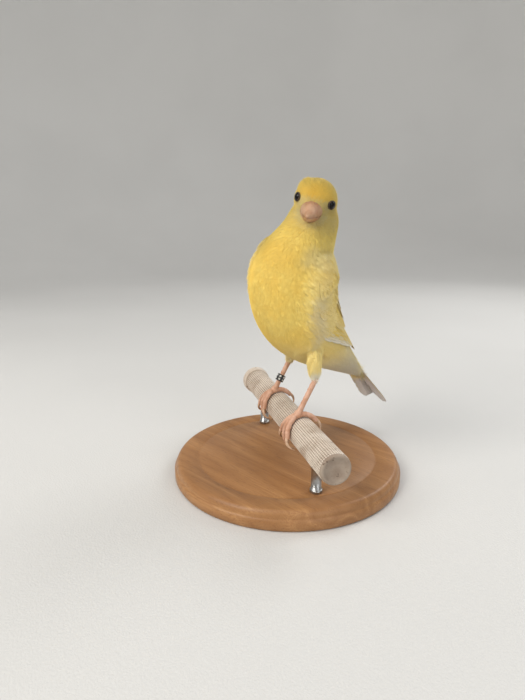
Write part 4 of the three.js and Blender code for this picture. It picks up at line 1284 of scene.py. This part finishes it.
def wing_arm(side, name):
    top, low = arm_grid(side, 40, 18)
    rings = np.concatenate([top, low[:, ::-1]], axis=1)
    points, faces = tube(rings, rings[0].mean(0), rings[-1].mean(0))
    marks = markings(points)
    piece = make_piece(name, points, faces, None, {"marking": marks, "tip": np.zeros(len(points))})
    face_outwards(piece)
    return piece, top


for side, name in ((1, "left"), (-1, "right")):
    rng = np.random.default_rng(70 + side)
    arm, top = wing_arm(side, f"wing_{name}_arm")
    finished(arm, skin_material, "yellow_feathers", f"wing_{name}")
    for tier in TIERS:
        bunch(f"wing_{name}_{tier}", wing_feathers(side, tier, rng), wing_marks(tier), wing_vane, "pale_feathers")
    # Small coverts over the arm, from the bend to the median coverts
    rows, columns = top.shape[:2]
    index = np.arange(rows * columns).reshape(rows, columns)[: rows * 3 // 10]
    quads = np.stack([index[:-1, :-1], index[:-1, 1:], index[1:, 1:], index[1:, :-1]], -1).reshape(-1, 4)
    if side < 0:
        quads = quads[:, ::-1]
    flat = top.reshape(-1, 3)
    ways = unit(np.gradient(top, axis=0)).reshape(-1, 3)
    tree_of_ways = KDTree(len(flat))
    for k, p in enumerate(flat):
        tree_of_ways.insert(p, k)
    tree_of_ways.balance()

    def arm_lie(points):
        return ways[[tree_of_ways.find(p)[1] for p in points]]

    ground = Ground(flat, quads)
    probe, normal, _ = ground.nearest(flat[:200:10])
    outward = np.sign(dot(normal, unit(probe - trunk_at(np.array(0.5))["middle"])).mean())
    if outward < 0:
        quads = quads[:, ::-1]
        ground = Ground(flat, quads)
    roots, lengths = scatter(
        flat, [tuple(q) for q in quads], lambda p: np.full(len(p), 4.2), lambda p: np.full(len(p), 0.7), 90 + side, 9000
    )
    f, l, u = head_place(roots)
    # The small coverts' low tone (0.55) is painted shade, as on the wing's long feathers.
    marks = np.tile([0.35, 0.1, 0.0, 0.55], (len(roots), 1))
    marks[:, 1] = 0.1 + 0.2 * np.random.default_rng(3).random(len(roots))
    spots, _ = trunk_place(roots)
    arm_uv = np.stack([(roots[:, 2] - 20) / 60, (roots[:, 1] + 20) / 60], -1)
    lesser = grow(f"wing_{name}_small", ground, roots, lengths, arm_lie, np.full(len(roots), 0.6), 95 + side, root_uv=arm_uv, marks=marks)
    finished(lesser, coat_yellow, "yellow_feathers")

# %% [markdown]
# ## The tail
# Twelve tail feathers lie like a closed fan, the middle pair on top. The outer ones are a little longer, so the
# tail's end is notched. Their rule is a straight run from the rump to the tip with a slight arch.

# %% Tail
TAIL_ROOT, TAIL_TIP = np.array([6.7, 33.4, 16.4]), np.array([4.6, 65.5, -13.2])
TAIL_PAIRS, TAIL_FORK, TAIL_HALF, TAIL_SPREAD = 6, 3.6, 2.7, 5.6
TAIL_WAY = unit(TAIL_TIP - TAIL_ROOT)
TAIL_LEFT = unit(np.array([1.0, 0, 0]) - TAIL_WAY * TAIL_WAY[0])
TAIL_UP = np.cross(TAIL_LEFT, TAIL_WAY)
TAIL_OUTLINE = np.array([[0, 0.5], [0.2, 0.72], [0.6, 0.93], [0.85, 1.0], [0.94, 0.86], [0.98, 0.58], [1.0, 0.3]])


def tail_feathers(rng):
    made = []
    for side in (-1, 1):
        for order in range(TAIL_PAIRS):
            share = order / (TAIL_PAIRS - 1)
            length = np.linalg.norm(TAIL_TIP - TAIL_ROOT) - TAIL_FORK * (1 - share) + rng.normal(0, 0.15)

            def place(u, sideways, height):
                aside = mix(side * (0.5 + 1.6 * share), side * mix(1.1, TAIL_SPREAD, share), u) + sideways * side
                up = 0.6 - 1.6 * share + height - 0.05 * sideways + 1.2 * u * (1 - u)
                return TAIL_ROOT + TAIL_WAY * (length * u)[..., None] + TAIL_LEFT * aside[..., None] + TAIL_UP * up[..., None]

            made.append(long_feather(place, TAIL_HALF, length, 70, 14, rng, shaft_at=0.25 * (share > 0.2), nicks=3, outline=TAIL_OUTLINE))
    return made


def tail_marks(k, u, v):
    """Pale grey-white, with yellow-green on the outer edges."""
    edge = smooth(0.1, 0.8, v) * (1 - smooth(0.75, 1.0, u))
    return np.stack([np.zeros(len(u)), np.full(len(u), 0.3), 0.9 * (1 - 0.45 * edge), np.full(len(u), 0.76 + 0.09 * math.sin(k * 1.9))], -1)


bunch("tail_fan", tail_feathers(np.random.default_rng(60)), tail_marks, tail_vane, "tail_feathers", "tail")


# %% [markdown]
# ## Legs and feet
# A canary's leg is bare from the heel down, with a row of overlapping plates (scutes) down its front and a plain
# ridge behind. The toes have a plate over each joint and soft pads below. Each limb is a tube whose radius changes
# round it and along it, so plates and pads are part of its shape. The claws are horn, so they are pieces of their own.

# %% Shanks
SHANK_RADII = [1.3, 1.15, 1.12, 1.12, 1.15, 1.15]
SCUTES = 8


def saw(x):
    """Rises slowly and falls at once, like the edge of a plate that overlaps the next."""
    return x - np.floor(x)


def shank(side):
    rows, sides = 96, 28
    share = np.linspace(0, 1, rows)
    line = on_shank(side, mix(0.02, 0.9, share))
    front = unit(np.cross(np.cross(SHANK_WAY, -PERCH_FRONT * -1), SHANK_WAY))
    across = np.cross(SHANK_WAY, front)
    turn = np.linspace(0, 2 * np.pi, sides, endpoint=False)
    faces_front = np.clip(np.cos(turn), 0, 1)[None]
    faces_back = np.clip(-np.cos(turn), 0, 1)[None]
    plate = saw((1 - share) * SCUTES)[:, None]
    edge = np.clip(1.25 * plate, 0, 1) ** 2 * (1 - smooth(0.93, 1.0, plate))
    radius = through(SHANK_RADII, share)[:, None] - 0.1
    radius = radius + 0.12 * edge * faces_front**0.6 + 0.1 * faces_back**6 - 0.05 * np.abs(np.sin(turn))[None] ** 4
    ring = front * np.cos(turn)[:, None] + across * np.sin(turn)[:, None]
    rings = line[:, None] + ring[None] * radius[..., None]
    return tube(rings, line[0] - SHANK_WAY * 0.2, line[-1] + SHANK_WAY * 0.2)


# %% Toes and claws
# length, splay along the perch for each mm, claw's length, way round the perch, joints
TOES = {
    "inner": (10.5, -0.34, 5.2, 1, 3), "middle": (14.5, 0.04, 5.6, 1, 4),
    "outer": (11.0, 0.42, 5.0, 1, 4), "hind": (9.0, 0.05, 6.6, -1, 2),
}
TOE_PATH = PERCH_RADIUS + TOE_GAP + TOE_RADIUS


def toe_line(side, toe, run, out=0.0):
    _, splay, _, way, _ = TOES[toe]
    return on_perch(stand(side) + side * splay * run, STANCE_TURN + way * run / TOE_PATH, TOE_PATH + out)


def along_perch_frame(line):
    """For a line round the perch: the way it goes, straight out from the perch, and sideways."""
    tangent = unit(np.gradient(line, axis=0))
    axis_point = -PERCH_RADIUS * UP + PERCH_ALONG * ((line + PERCH_RADIUS * UP) @ PERCH_ALONG)[:, None]
    out = unit(line - axis_point)
    out = unit(out - tangent * dot(out, tangent)[:, None])
    return tangent, out, np.cross(tangent, out)


def toe(side, name):
    length, _, _, _, joints = TOES[name]
    rows, sides = 60, 18
    share = np.linspace(0, 1, rows)
    line = toe_line(side, name, share * length)
    tangent, out, across = along_perch_frame(line)
    turn = np.linspace(0, 2 * np.pi, sides, endpoint=False)
    over, below = np.clip(np.cos(turn), 0, 1)[None], np.clip(-np.cos(turn), 0, 1)[None]
    plate = saw(share * (length / 1.15))[:, None]
    edge = np.clip(1.3 * plate, 0, 1) ** 2 * (1 - smooth(0.9, 1.0, plate))
    pad = np.abs(np.sin(np.pi * (share * joints + 0.15)))[:, None] ** 0.7
    base = (TOE_RADIUS * (1 - 0.2 * share) - 0.08)[:, None]
    radius = base + 0.1 * edge * over**0.5 + (0.02 + 0.26 * pad) * below**1.5 - 0.04 * (1 - pad) * (1 - below)
    radius = radius * np.sqrt(np.clip(1 - ((share - 0.97) / 0.06).clip(0, 1) ** 2, 0.25, 1))[:, None]
    ring = out[:, None] * np.cos(turn)[None, :, None] - across[:, None] * np.sin(turn)[None, :, None]
    return tube(line[:, None] + ring * radius[..., None], line[0] - tangent[0] * 0.4, line[-1] + tangent[-1] * 0.35)


def claw(side, name):
    length, _, claw_length, _, _ = TOES[name]
    rows, sides = 26, 14
    share = np.linspace(0, 1, rows)
    run = length - 1 + (claw_length + 1) * share
    line = toe_line(side, name, run, 0.9 * np.sin(np.pi * share) - 0.45 * share)
    tangent, out, across = along_perch_frame(line)
    turn = np.linspace(0, 2 * np.pi, sides, endpoint=False)
    radius = mix(0.78, 0.12, share**1.2)[:, None] * (1 - 0.28 * np.abs(np.sin(turn))[None] - 0.16 * np.clip(-np.cos(turn), 0, 1)[None] ** 8)
    ring = out[:, None] * np.cos(turn)[None, :, None] - across[:, None] * np.sin(turn)[None, :, None]
    return tube(line[:, None] + ring * radius[..., None], line[0] - tangent[0] * 0.2, line[-1] + tangent[-1] * 0.15)


def ball(middle, radii, axes, rows=18, sides=24):
    lat = np.linspace(0, np.pi, rows + 2)[1:-1]
    lon = np.linspace(0, 2 * np.pi, sides, endpoint=False)
    x = np.cos(lat)[:, None] * np.ones(sides)
    y, z = np.sin(lat)[:, None] * np.cos(lon), np.sin(lat)[:, None] * np.sin(lon)
    rings = middle + sum((c * r)[..., None] * a for c, r, a in zip((x, y, z), radii, axes))
    return tube(rings, middle + axes[0] * radii[0], middle - axes[0] * radii[0])


def hub(side):
    axes = (SHANK_WAY, PERCH_ALONG, unit(np.cross(SHANK_WAY, PERCH_ALONG)))
    return ball(foot_hub(side), (1.8, 1.75, 1.75), axes)


for side, name in ((1, "left"), (-1, "right")):
    leg = make_piece(f"shank_{name}_scaled", *shank(side))
    face_outwards(leg)
    finished(leg, leg_scales, "bare_skin", f"shank_{name}")
    foot = make_piece(f"foot_{name}_scaled", *gather([hub(side)] + [toe(side, t) for t in TOES]))
    face_outwards(foot)
    finished(foot, leg_scales, "bare_skin", f"foot_{name}")
    claws = make_piece(f"claws_{name}", *gather([claw(side, t) for t in TOES]))
    face_outwards(claws)
    finished(claws, claw_horn, "horn")

# %% [markdown]
# ## The bill
# The bill is one short cone, bent down towards the tip and parted along the mouth. Its ridge (the culmen) is
# slightly keeled, the nostrils are two small pits near its root, and the upper half hangs a little over the lower.

# %% Bill
BILL_ROOT, BILL_BASE, BILL_LENGTH, BILL_UP, BILL_DROP, BILL_WIDE, BILL_HIGH = 4.5, 7.6, 8.2, -2.3, -0.5, 4.9, 4.9
MOUTH_GAP = 0.12


def bill_cone(grow_by=0.0):
    u = np.linspace(0, 1, 56) ** 0.9
    turn = np.linspace(0, 2 * np.pi, 72, endpoint=False)
    full = np.maximum(np.sqrt(1 - u**2) * 0.55 + (1 - u) * 0.45, 0.05)[:, None]
    keel = 1 + 0.05 * np.clip(np.cos(turn), 0, 1)[None] ** 10 * (1 - u)[:, None]
    forward = mix(BILL_ROOT, BILL_BASE + BILL_LENGTH, u)[:, None] + 0 * turn
    left = (BILL_WIDE + grow_by) * full * np.sin(turn)[None]
    up = (BILL_UP + BILL_DROP * u**2 - 0.5)[:, None] + (BILL_HIGH + grow_by) * full * keel * np.cos(turn)[None]
    rings = on_head(forward, left, up)
    for side in (1, -1):
        pit = on_head(BILL_BASE + 1.5, side * 1.35, BILL_UP + 2.9)
        away = np.linalg.norm(rings - pit, axis=-1)
        inward = unit(on_head(BILL_BASE + 1.2, 0, BILL_UP) - pit)
        rings = rings + inward * (0.5 * np.exp(-((away / 0.42) ** 2)) - 0.1 * np.exp(-(((away - 0.75) / 0.25) ** 2)))[..., None]
    low = on_head(BILL_ROOT - 0.3, 0, BILL_UP)
    high = on_head(BILL_BASE + BILL_LENGTH + 0.15, 0, BILL_UP + BILL_DROP - 0.5)
    return tube(rings, low, high)


mouth_tip = on_head(BILL_BASE + BILL_LENGTH, 0, BILL_UP + BILL_DROP - 0.8)
mouth_normal = unit(np.cross(HEAD_LEFT, mouth_tip - on_head(BILL_BASE, 0, BILL_UP - 1.2)))


def half_bill(name, way, grow_by, node_name):
    piece = make_piece(name, *bill_cone(grow_by))
    face_outwards(piece)
    shell = bmesh.new()
    shell.from_mesh(piece.data)
    at = Vector((mouth_tip + mouth_normal * way * MOUTH_GAP / 2) * 0.001 + (0, 0, PERCH_TOP))
    everything = shell.verts[:] + shell.edges[:] + shell.faces[:]
    cut = bmesh.ops.bisect_plane(shell, geom=everything, plane_co=at, plane_no=Vector(mouth_normal * way), clear_inner=True)
    rim = [e for e in cut["geom_cut"] if isinstance(e, bmesh.types.BMEdge)]
    bmesh.ops.edgeloop_fill(shell, edges=rim)
    bmesh.ops.recalc_face_normals(shell, faces=shell.faces)
    shell.to_mesh(piece.data)
    shell.free()
    return finished(piece, bill_horn, "horn", node_name)


bill_top = half_bill("bill_upper_horn", 1, 0.0, "bill_upper")
bill_low = half_bill("bill_lower_horn", -1, -0.12, "bill_lower")

# %% [markdown]
# ## Eyes
# The eye is a dark glossy ball that sits well inside the head and shows through a small round opening. Round it
# lies the rim of the lids, bare skin with a row of tiny beads.

# %% Eyes and lids
LID_BEADS = 22
GLOBE_RADIUS, LID_OPENING, LID_DEPTH = 1.95, 1.58, 1.1


def eye_axes(side):
    place, facing = eye_seat(side)
    across = unit(np.cross(facing, HEAD_UP))
    return place, facing, across, np.cross(facing, across)


def lids(side):
    place, facing, across, rise = eye_axes(side)
    turn = np.linspace(0, 2 * np.pi, 132, endpoint=False)
    round_tube = np.linspace(0, 2 * np.pi, 14, endpoint=False)
    bead = 0.06 * (0.5 + 0.5 * np.cos(turn * LID_BEADS))
    ring_out = across * np.cos(turn)[:, None] + rise * (0.94 * np.sin(turn))[:, None]
    radius = LID_OPENING + 0.1
    middle = place + ring_out * radius - facing * 0.08
    wide, high = 0.2 + 0.3 * bead, 0.16 + bead
    rings = (
        middle[:, None]
        + ring_out[:, None] * (wide[:, None] * np.cos(round_tube)[None])[..., None]
        + facing * (high[:, None] * np.sin(round_tube)[None] - LID_DEPTH * np.clip(-np.sin(round_tube), 0, 1)[None])[..., None]
    )
    a = np.arange(len(turn))[:, None] * 14 + np.arange(14)[None]
    b = np.arange(len(turn))[:, None] * 14 + (np.arange(14)[None] + 1) % 14
    step = (a + 14) % (len(turn) * 14), (b + 14) % (len(turn) * 14)
    return rings.reshape(-1, 3), [np.stack([a, b, step[1], step[0]], -1).reshape(-1, 4)]


for side, name in ((1, "left"), (-1, "right")):
    place, facing, across, rise = eye_axes(side)
    globe = make_piece(f"eye_{name}_globe", *ball(place - facing * (EYE_DEPTH - EYE_RADIUS + GLOBE_RADIUS), (GLOBE_RADIUS,) * 3, (facing, across, rise), 40, 56))
    face_outwards(globe)
    finished(globe, eye_dark, "eye", f"eye_{name}")
    rim = make_piece(f"lids_{name}", *lids(side))
    face_outwards(rim)
    finished(rim, lid_skin, "bare_skin")

finished(skin, skin_material, "yellow_feathers", "torso", "neck", "head", "thigh_left", "thigh_right")
for piece in coat_pieces:
    finished(piece, coat_yellow, "yellow_feathers")

# %% [markdown]
# ## The leg ring
# The right leg wears a closed black ring. It carries no letters here, only two rows of plain pale dabs, which
# are one small tile repeated round the ring. Copies that follow a path are work for Geometry Nodes: a tree with named
# inputs turns points with a turn of their own into tiles, realizes them and gives them their material.


# %% A tree that sets copies on points
def copies_tree():
    """Geometry Nodes: one copy of an object on each point, turned by the attribute "turned" and sized by "sized"."""
    tree = bpy.data.node_groups.new("copies_on_points", "GeometryNodeTree")
    for label, kind in (("Geometry", "NodeSocketGeometry"), ("Copy", "NodeSocketObject"), ("Size", "NodeSocketFloat"), ("Finish", "NodeSocketMaterial")):
        tree.interface.new_socket(label, in_out="INPUT", socket_type=kind)
    tree.interface.new_socket("Geometry", in_out="OUTPUT", socket_type="NodeSocketGeometry")
    given = tree.nodes.new("NodeGroupInput").outputs
    turned = node(tree, "GeometryNodeInputNamedAttribute", {"Name": "turned"}, data_type="FLOAT_VECTOR").outputs["Attribute"]
    sized = node(tree, "GeometryNodeInputNamedAttribute", {"Name": "sized"}, data_type="FLOAT").outputs["Attribute"]
    copy = node(tree, "GeometryNodeObjectInfo", {"Object": given["Copy"]}).outputs["Geometry"]
    scale = node(tree, "ShaderNodeMath", {0: sized, 1: given["Size"]}, operation="MULTIPLY").outputs[0]
    turning = node(tree, "FunctionNodeEulerToRotation", {0: turned}).outputs[0]
    placed = node(tree, "GeometryNodeInstanceOnPoints", {"Points": given["Geometry"], "Instance": copy, "Rotation": turning, "Scale": scale})
    real = node(tree, "GeometryNodeRealizeInstances", {0: placed.outputs[0]})
    coated = node(tree, "GeometryNodeSetMaterial", {"Geometry": real.outputs[0], "Material": given["Finish"]})
    tree.links.new(coated.outputs[0], tree.nodes.new("NodeGroupOutput").inputs[0])
    return tree


COPIES = copies_tree()


def copies(name, places, axes, copy, material, sizes=None, size=1.0):
    """Copies of one small object on places, each turned to its own axes (x, y, z), as one plain mesh."""
    points = np.asarray(places) * 0.001 + (0, 0, PERCH_TOP)
    host_mesh = bpy.data.meshes.new(name)
    host_mesh.from_pydata([tuple(p) for p in points], [], [])
    turns = [Matrix(np.array(a).T.tolist()).to_euler() for a in axes]
    turned = host_mesh.attributes.new("turned", "FLOAT_VECTOR", "POINT")
    turned.data.foreach_set("vector", np.array([tuple(t) for t in turns], np.float32).ravel())
    sized = host_mesh.attributes.new("sized", "FLOAT", "POINT")
    sized.data.foreach_set("value", np.ones(len(points), np.float32) if sizes is None else np.asarray(sizes, np.float32))
    host = bpy.data.objects.new(name, host_mesh)
    bpy.context.scene.collection.objects.link(host)
    setter = host.modifiers.new("copies", "NODES")
    setter.node_group = COPIES
    sockets = {i.name: i.identifier for i in COPIES.interface.items_tree if i.in_out == "INPUT"}
    setter[sockets["Copy"]] = copy
    setter[sockets["Size"]] = size
    setter[sockets["Finish"]] = material
    made = evaluated_copy(host, name)
    bpy.data.objects.remove(copy)
    print(name, len(points), "copies,", len(made.data.polygons), "faces")
    return made


def loose_copy(name, points, faces):
    """A small object to be copied: its points are metres about its own middle."""
    mesh = bpy.data.meshes.new(name)
    mesh.from_pydata([tuple(np.asarray(p) * 0.001) for p in points], [], [tuple(int(i) for i in f) for f in faces])
    mesh.update()
    copy = bpy.data.objects.new(name, mesh)
    bpy.context.scene.collection.objects.link(copy)
    return copy


def tile(long, wide, high, chamfer=0.3):
    """A low tile with sloping edges: x long, y wide, z high, its middle on the ground."""
    x, y = long / 2, wide / 2
    inner = (x * (1 - chamfer), y * (1 - chamfer))
    low = [(-x, -y, 0), (x, -y, 0), (x, y, 0), (-x, y, 0)]
    top = [(-inner[0], -inner[1], high), (inner[0], -inner[1], high), (inner[0], inner[1], high), (-inner[0], inner[1], high)]
    sides = [(k, (k + 1) % 4, 4 + (k + 1) % 4, 4 + k) for k in range(4)]
    return low + top, [(3, 2, 1, 0), (4, 5, 6, 7), *sides]


# %% Leg ring
RING_OUTER, RING_INNER, RING_HALF, RING_PLACE = 1.9, 1.5, 1.6, 0.33
ring_axes = (unit(np.cross(SHANK_WAY, UP)), unit(np.cross(SHANK_WAY, np.cross(SHANK_WAY, UP))))


def turned_body(profile, middle, axis, first, second, sides):
    """A closed band turned round an axis from a closed profile of (radius, along)."""
    profile = np.asarray(profile, float)
    turn = np.linspace(0, 2 * np.pi, sides, endpoint=False)
    out = first * np.cos(turn)[:, None] + second * np.sin(turn)[:, None]
    rings = middle + out[:, None] * profile[None, :, :1] + axis * profile[None, :, 1:]
    count = len(profile)
    a = np.arange(sides)[:, None] * count + np.arange(count)[None]
    b = np.arange(sides)[:, None] * count + (np.arange(count)[None] + 1) % count
    total = sides * count
    return rings.reshape(-1, 3), [np.stack([a, b, (b + count) % total, (a + count) % total], -1).reshape(-1, 4)]


r = 0.1
band_profile = [
    (RING_INNER, -RING_HALF + r), (RING_INNER + r, -RING_HALF), (RING_OUTER - r, -RING_HALF), (RING_OUTER, -RING_HALF + r),
    (RING_OUTER, RING_HALF - r), (RING_OUTER - r, RING_HALF), (RING_INNER + r, RING_HALF), (RING_INNER, RING_HALF - r),
]
band = make_piece("leg_ring", *turned_body(band_profile, on_shank(-1, RING_PLACE), SHANK_WAY, *ring_axes, 72))
face_outwards(band)
finished(band, ring_black, "band", "leg_band")
dab_places, dab_axes = [], []
for row in (-0.72, 0.72):
    for k in range(6):
        turn = 2 * math.pi * (k + 0.25) / 6
        out = ring_axes[0] * math.cos(turn) + ring_axes[1] * math.sin(turn)
        dab_places.append(on_shank(-1, RING_PLACE) + SHANK_WAY * row + out * (RING_OUTER - 0.03))
        dab_axes.append((np.cross(SHANK_WAY, out), SHANK_WAY, out))
dabs = copies("leg_ring_dabs", dab_places, dab_axes, loose_copy("dab", *tile(0.85, 0.8, 0.07)), ring_mark)
finished(dabs, ring_mark, "band")

# %% [markdown]
# ## Perch and stand
# The perch is a beige plastic rod with a fine raised grid that gives the feet a hold, and a wider cap at its far
# end. The grid is one small tile again, repeated in rows along the rod and round it. The stand is a plain turned
# wooden disc with two steel rods.

# %% Perch
GRID_ROUND, GRID_LONG = 40, 1.15
COLLAR_RADIUS, COLLAR_LENGTH = 6.9, 4.0


def round_bar(profile, sides):
    """A bar along the perch's axis from a profile of (radius, along), closed at both ends."""
    turn = np.linspace(0, 2 * np.pi, sides, endpoint=False)
    profile = np.asarray(profile, float)
    rings = on_perch(profile[:, 1:] + 0 * turn, turn[None] + 0 * profile[:, :1], profile[:, :1] + 0 * turn)
    ends = [on_perch(profile[k, 1], 0.0, 0.0) for k in (0, -1)]
    return tube(rings, ends[0], ends[1])


near_end, far_end = PERCH_HALF, -PERCH_HALF
core = 5.84
perch_profile = [(core - 0.5, far_end + COLLAR_LENGTH + 0.3), (core, far_end + COLLAR_LENGTH + 0.8)]
perch_profile += [(core, x) for x in np.linspace(far_end + 6, near_end - 2, 24)]
perch_profile += [(core, near_end - 0.5), (core - 0.15, near_end - 0.15), (core - 0.5, near_end), (4.6, near_end), (4.4, near_end - 0.4), (0.8, near_end - 0.5)]
# The rod's core shows in the grooves between the grid's studs, in the darker groove finish that is painted shade.
rod = make_piece("perch_rod", *round_bar(perch_profile, 96))
face_outwards(rod)
finished(rod, perch_groove_shade_and_stain, "perch", "perch")
grid_places, grid_axes = [], []
for row, at in enumerate(np.arange(far_end + COLLAR_LENGTH + 1.2, near_end - 0.8, GRID_LONG)):
    for k in range(GRID_ROUND):
        turn = 2 * math.pi * k / GRID_ROUND
        out = PERCH_FRONT * math.sin(turn) + UP * math.cos(turn)
        grid_places.append(on_perch(at, turn, core - 0.02))
        grid_axes.append((PERCH_ALONG, np.cross(out, PERCH_ALONG), out))
grid = copies("perch_grid", grid_places, grid_axes, loose_copy("stud", *tile(0.84, 0.64, 0.16, 0.25)), perch_plastic)
finished(grid, perch_plastic, "perch")
collar_profile = [
    (4.0, far_end + 0.5), (4.6, far_end + 0.4), (5.0, far_end), (6.5, far_end), (6.8, far_end + 0.15), (COLLAR_RADIUS, far_end + 0.5),
    (COLLAR_RADIUS, far_end + 1.3), (6.6, far_end + 1.6), (6.6, far_end + 2.0), (6.75, far_end + 2.3), (6.75, far_end + 3.5),
    (6.5, far_end + 3.9), (6.2, far_end + COLLAR_LENGTH), (3.0, far_end + COLLAR_LENGTH),
]
collar = make_piece("perch_cap", *round_bar(collar_profile, 96))
face_outwards(collar)
finished(collar, perch_plastic, "perch", "perch_collar")

# %% Stand
BASE_RADIUS, BASE_THICK, ROD_RADIUS, ROD_PLACE = 50.0, 8.0, 2.5, 36.0
FLOOR_DOWN = -PERCH_TOP * 1000


def lathe(profile, sides):
    """A body turned about the upright, from a profile of (radius, height over the floor), bottom to top."""
    turn = np.linspace(0, 2 * np.pi, sides, endpoint=False)
    profile = np.asarray(profile, float)
    rings = np.stack([profile[:, :1] * np.cos(turn), profile[:, :1] * np.sin(turn), profile[:, 1:] + FLOOR_DOWN + 0 * turn], -1)
    return tube(rings, np.array([0, 0, rings[0, 0, 2]]), np.array([0, 0, rings[-1, 0, 2]]))


base_profile = [(20, 0), (BASE_RADIUS - 1.2, 0), (BASE_RADIUS - 0.4, 0.3), (BASE_RADIUS, 1.0), (BASE_RADIUS, 4.2)]
base_profile += [(BASE_RADIUS - 0.5, 4.7), (BASE_RADIUS - 0.7, 5.0)]
base_profile += [(BASE_RADIUS - 0.7 - 2.2 * (1 - math.cos(a)), 5.0 + 3.0 * math.sin(a)) for a in np.linspace(0.15, math.pi / 2, 8)]
base_profile += [(40, BASE_THICK), (39.4, BASE_THICK - 0.35), (38.8, BASE_THICK), (20, BASE_THICK)]
base = make_piece("stand_disc", *lathe(base_profile, 160))
face_outwards(base)
finished(base, stand_wood, "stand_wood", "stand_base")


def stand_rod(way):
    turn = np.linspace(0, 2 * np.pi, 48, endpoint=False)
    at = PERCH_ALONG * way * ROD_PLACE
    low = FLOOR_DOWN + BASE_THICK
    profile = np.array([(2.3, 0.0), (2.5, 0.15), (2.5, 1.2), (2.3, 1.4), (2.05, 1.5), (2.05, 10.2), (2.3, 10.4), (2.5, 10.6), (2.5, 12.6)])
    x = profile[:, :1] * np.cos(turn) + at[0]
    y = profile[:, :1] * np.sin(turn) + at[1]
    z = profile[:, 1:] + low + 0 * turn
    rings = np.stack([x, y, z], -1)
    # The top ring follows the perch's underside.
    off_axis = (rings[-1] - at) @ PERCH_FRONT
    rings[-1, :, 2] = -PERCH_RADIUS - np.sqrt(np.maximum(5.9**2 - off_axis**2, 0))
    return tube(rings, np.array([at[0], at[1], low]), np.array([at[0], at[1], -PERCH_RADIUS - 5.6]))


for way, name in ((-1, "far"), (1, "near")):
    post = make_piece(f"stand_post_{name}", *stand_rod(way))
    face_outwards(post)
    finished(post, rod_steel, "stand_metal", f"stand_rod_{name}")


# %% Camera
PHOTO_WIDE, PHOTO_HIGH, FOCAL_PIXELS = 525, 700, 515.0
CAMERA_AT = Vector((0.1408, -0.1615, 0.111))
CAMERA_HEADING, CAMERA_DIP = math.radians(44), math.radians(14.5)

away = Vector((-math.sin(CAMERA_HEADING), math.cos(CAMERA_HEADING), 0))
right = Vector((math.cos(CAMERA_HEADING), math.sin(CAMERA_HEADING), 0))
look = away * math.cos(CAMERA_DIP) - Vector((0, 0, 1)) * math.sin(CAMERA_DIP)
above = away * math.sin(CAMERA_DIP) + Vector((0, 0, 1)) * math.cos(CAMERA_DIP)
lens = bpy.data.cameras.new("camera")
lens.sensor_width = 36
lens.lens = 36 * FOCAL_PIXELS / PHOTO_HIGH
lens.clip_start = 0.005
camera = bpy.data.objects.new("camera", lens)
camera.matrix_world = Matrix((
    (right.x, above.x, -look.x, CAMERA_AT.x),
    (right.y, above.y, -look.y, CAMERA_AT.y),
    (right.z, above.z, -look.z, CAMERA_AT.z),
    (0, 0, 0, 1),
))
bpy.context.scene.collection.objects.link(camera)
bpy.context.scene.camera = camera

# %% Floor and light
def soft_light(name, at, size, power, colour, aim=(0.005, 0.005, 0.08)):
    light = bpy.data.lights.new(name, "AREA")
    light.shape, light.size, light.energy, light.color = "DISK", size, power, colour
    lamp = bpy.data.objects.new(name, light)
    lamp.location = at
    lamp.rotation_euler = (Vector(aim) - Vector(at)).to_track_quat("-Z", "Y").to_euler()
    bpy.context.scene.collection.objects.link(lamp)


soft_light("key", (-0.1, -0.62, 0.55), 0.5, 4.9, (1, 0.97, 0.92))
soft_light("fill", (0.6, -0.15, 0.3), 0.5, 1.2, (0.95, 0.97, 1))
soft_light("rim", (0.1, 0.6, 0.5), 0.4, 2.0, (1, 1, 1))
soft_light("wall", (0.0, -0.1, 1.3), 0.6, 3.0, (1, 1, 1), aim=(-0.9, 0.9, 0.5))
world = bpy.data.worlds.new("studio")
world.use_nodes = True
world.node_tree.nodes["Background"].inputs["Color"].default_value = (0.86, 0.87, 0.9, 1)
world.node_tree.nodes["Background"].inputs["Strength"].default_value = 0.45
bpy.context.scene.world = world
bpy.context.scene.view_settings.view_transform = "Standard"


def backdrop():
    """A round floor that sweeps up into a wall on every side, so that it has no edge from any view."""
    flat, bend, wall, sides = 0.8, 0.5, 1.5, 96
    profile = [(0.25, 0.0), (0.7, 0.0), (flat, 0.0)]
    profile += [(flat + bend * math.sin(a), bend - bend * math.cos(a)) for a in np.linspace(0.1, math.pi / 2, 14)]
    profile = np.array(profile + [(flat + bend, wall)])
    turn = np.linspace(0, 2 * np.pi, sides, endpoint=False)
    rings = np.stack([profile[:, :1] * np.cos(turn), profile[:, :1] * np.sin(turn), profile[:, 1:] + 0 * turn], -1)
    points = np.concatenate([[[0, 0, 0]], rings.reshape(-1, 3)]) * 1000 - (0, 0, PERCH_TOP * 1000)
    ring, side = np.meshgrid(np.arange(len(profile) - 1), np.arange(sides), indexing="ij")
    a, b = 1 + ring * sides + side, 1 + ring * sides + (side + 1) % sides
    middle = np.stack([np.zeros(sides, int), 1 + np.arange(sides), 1 + (np.arange(sides) + 1) % sides], -1)
    return make_piece("floor", points, [np.stack([a, a + sides, b + sides, b], -1).reshape(-1, 4), middle])


floor = backdrop()
floor.data.materials.append(plain_floor)
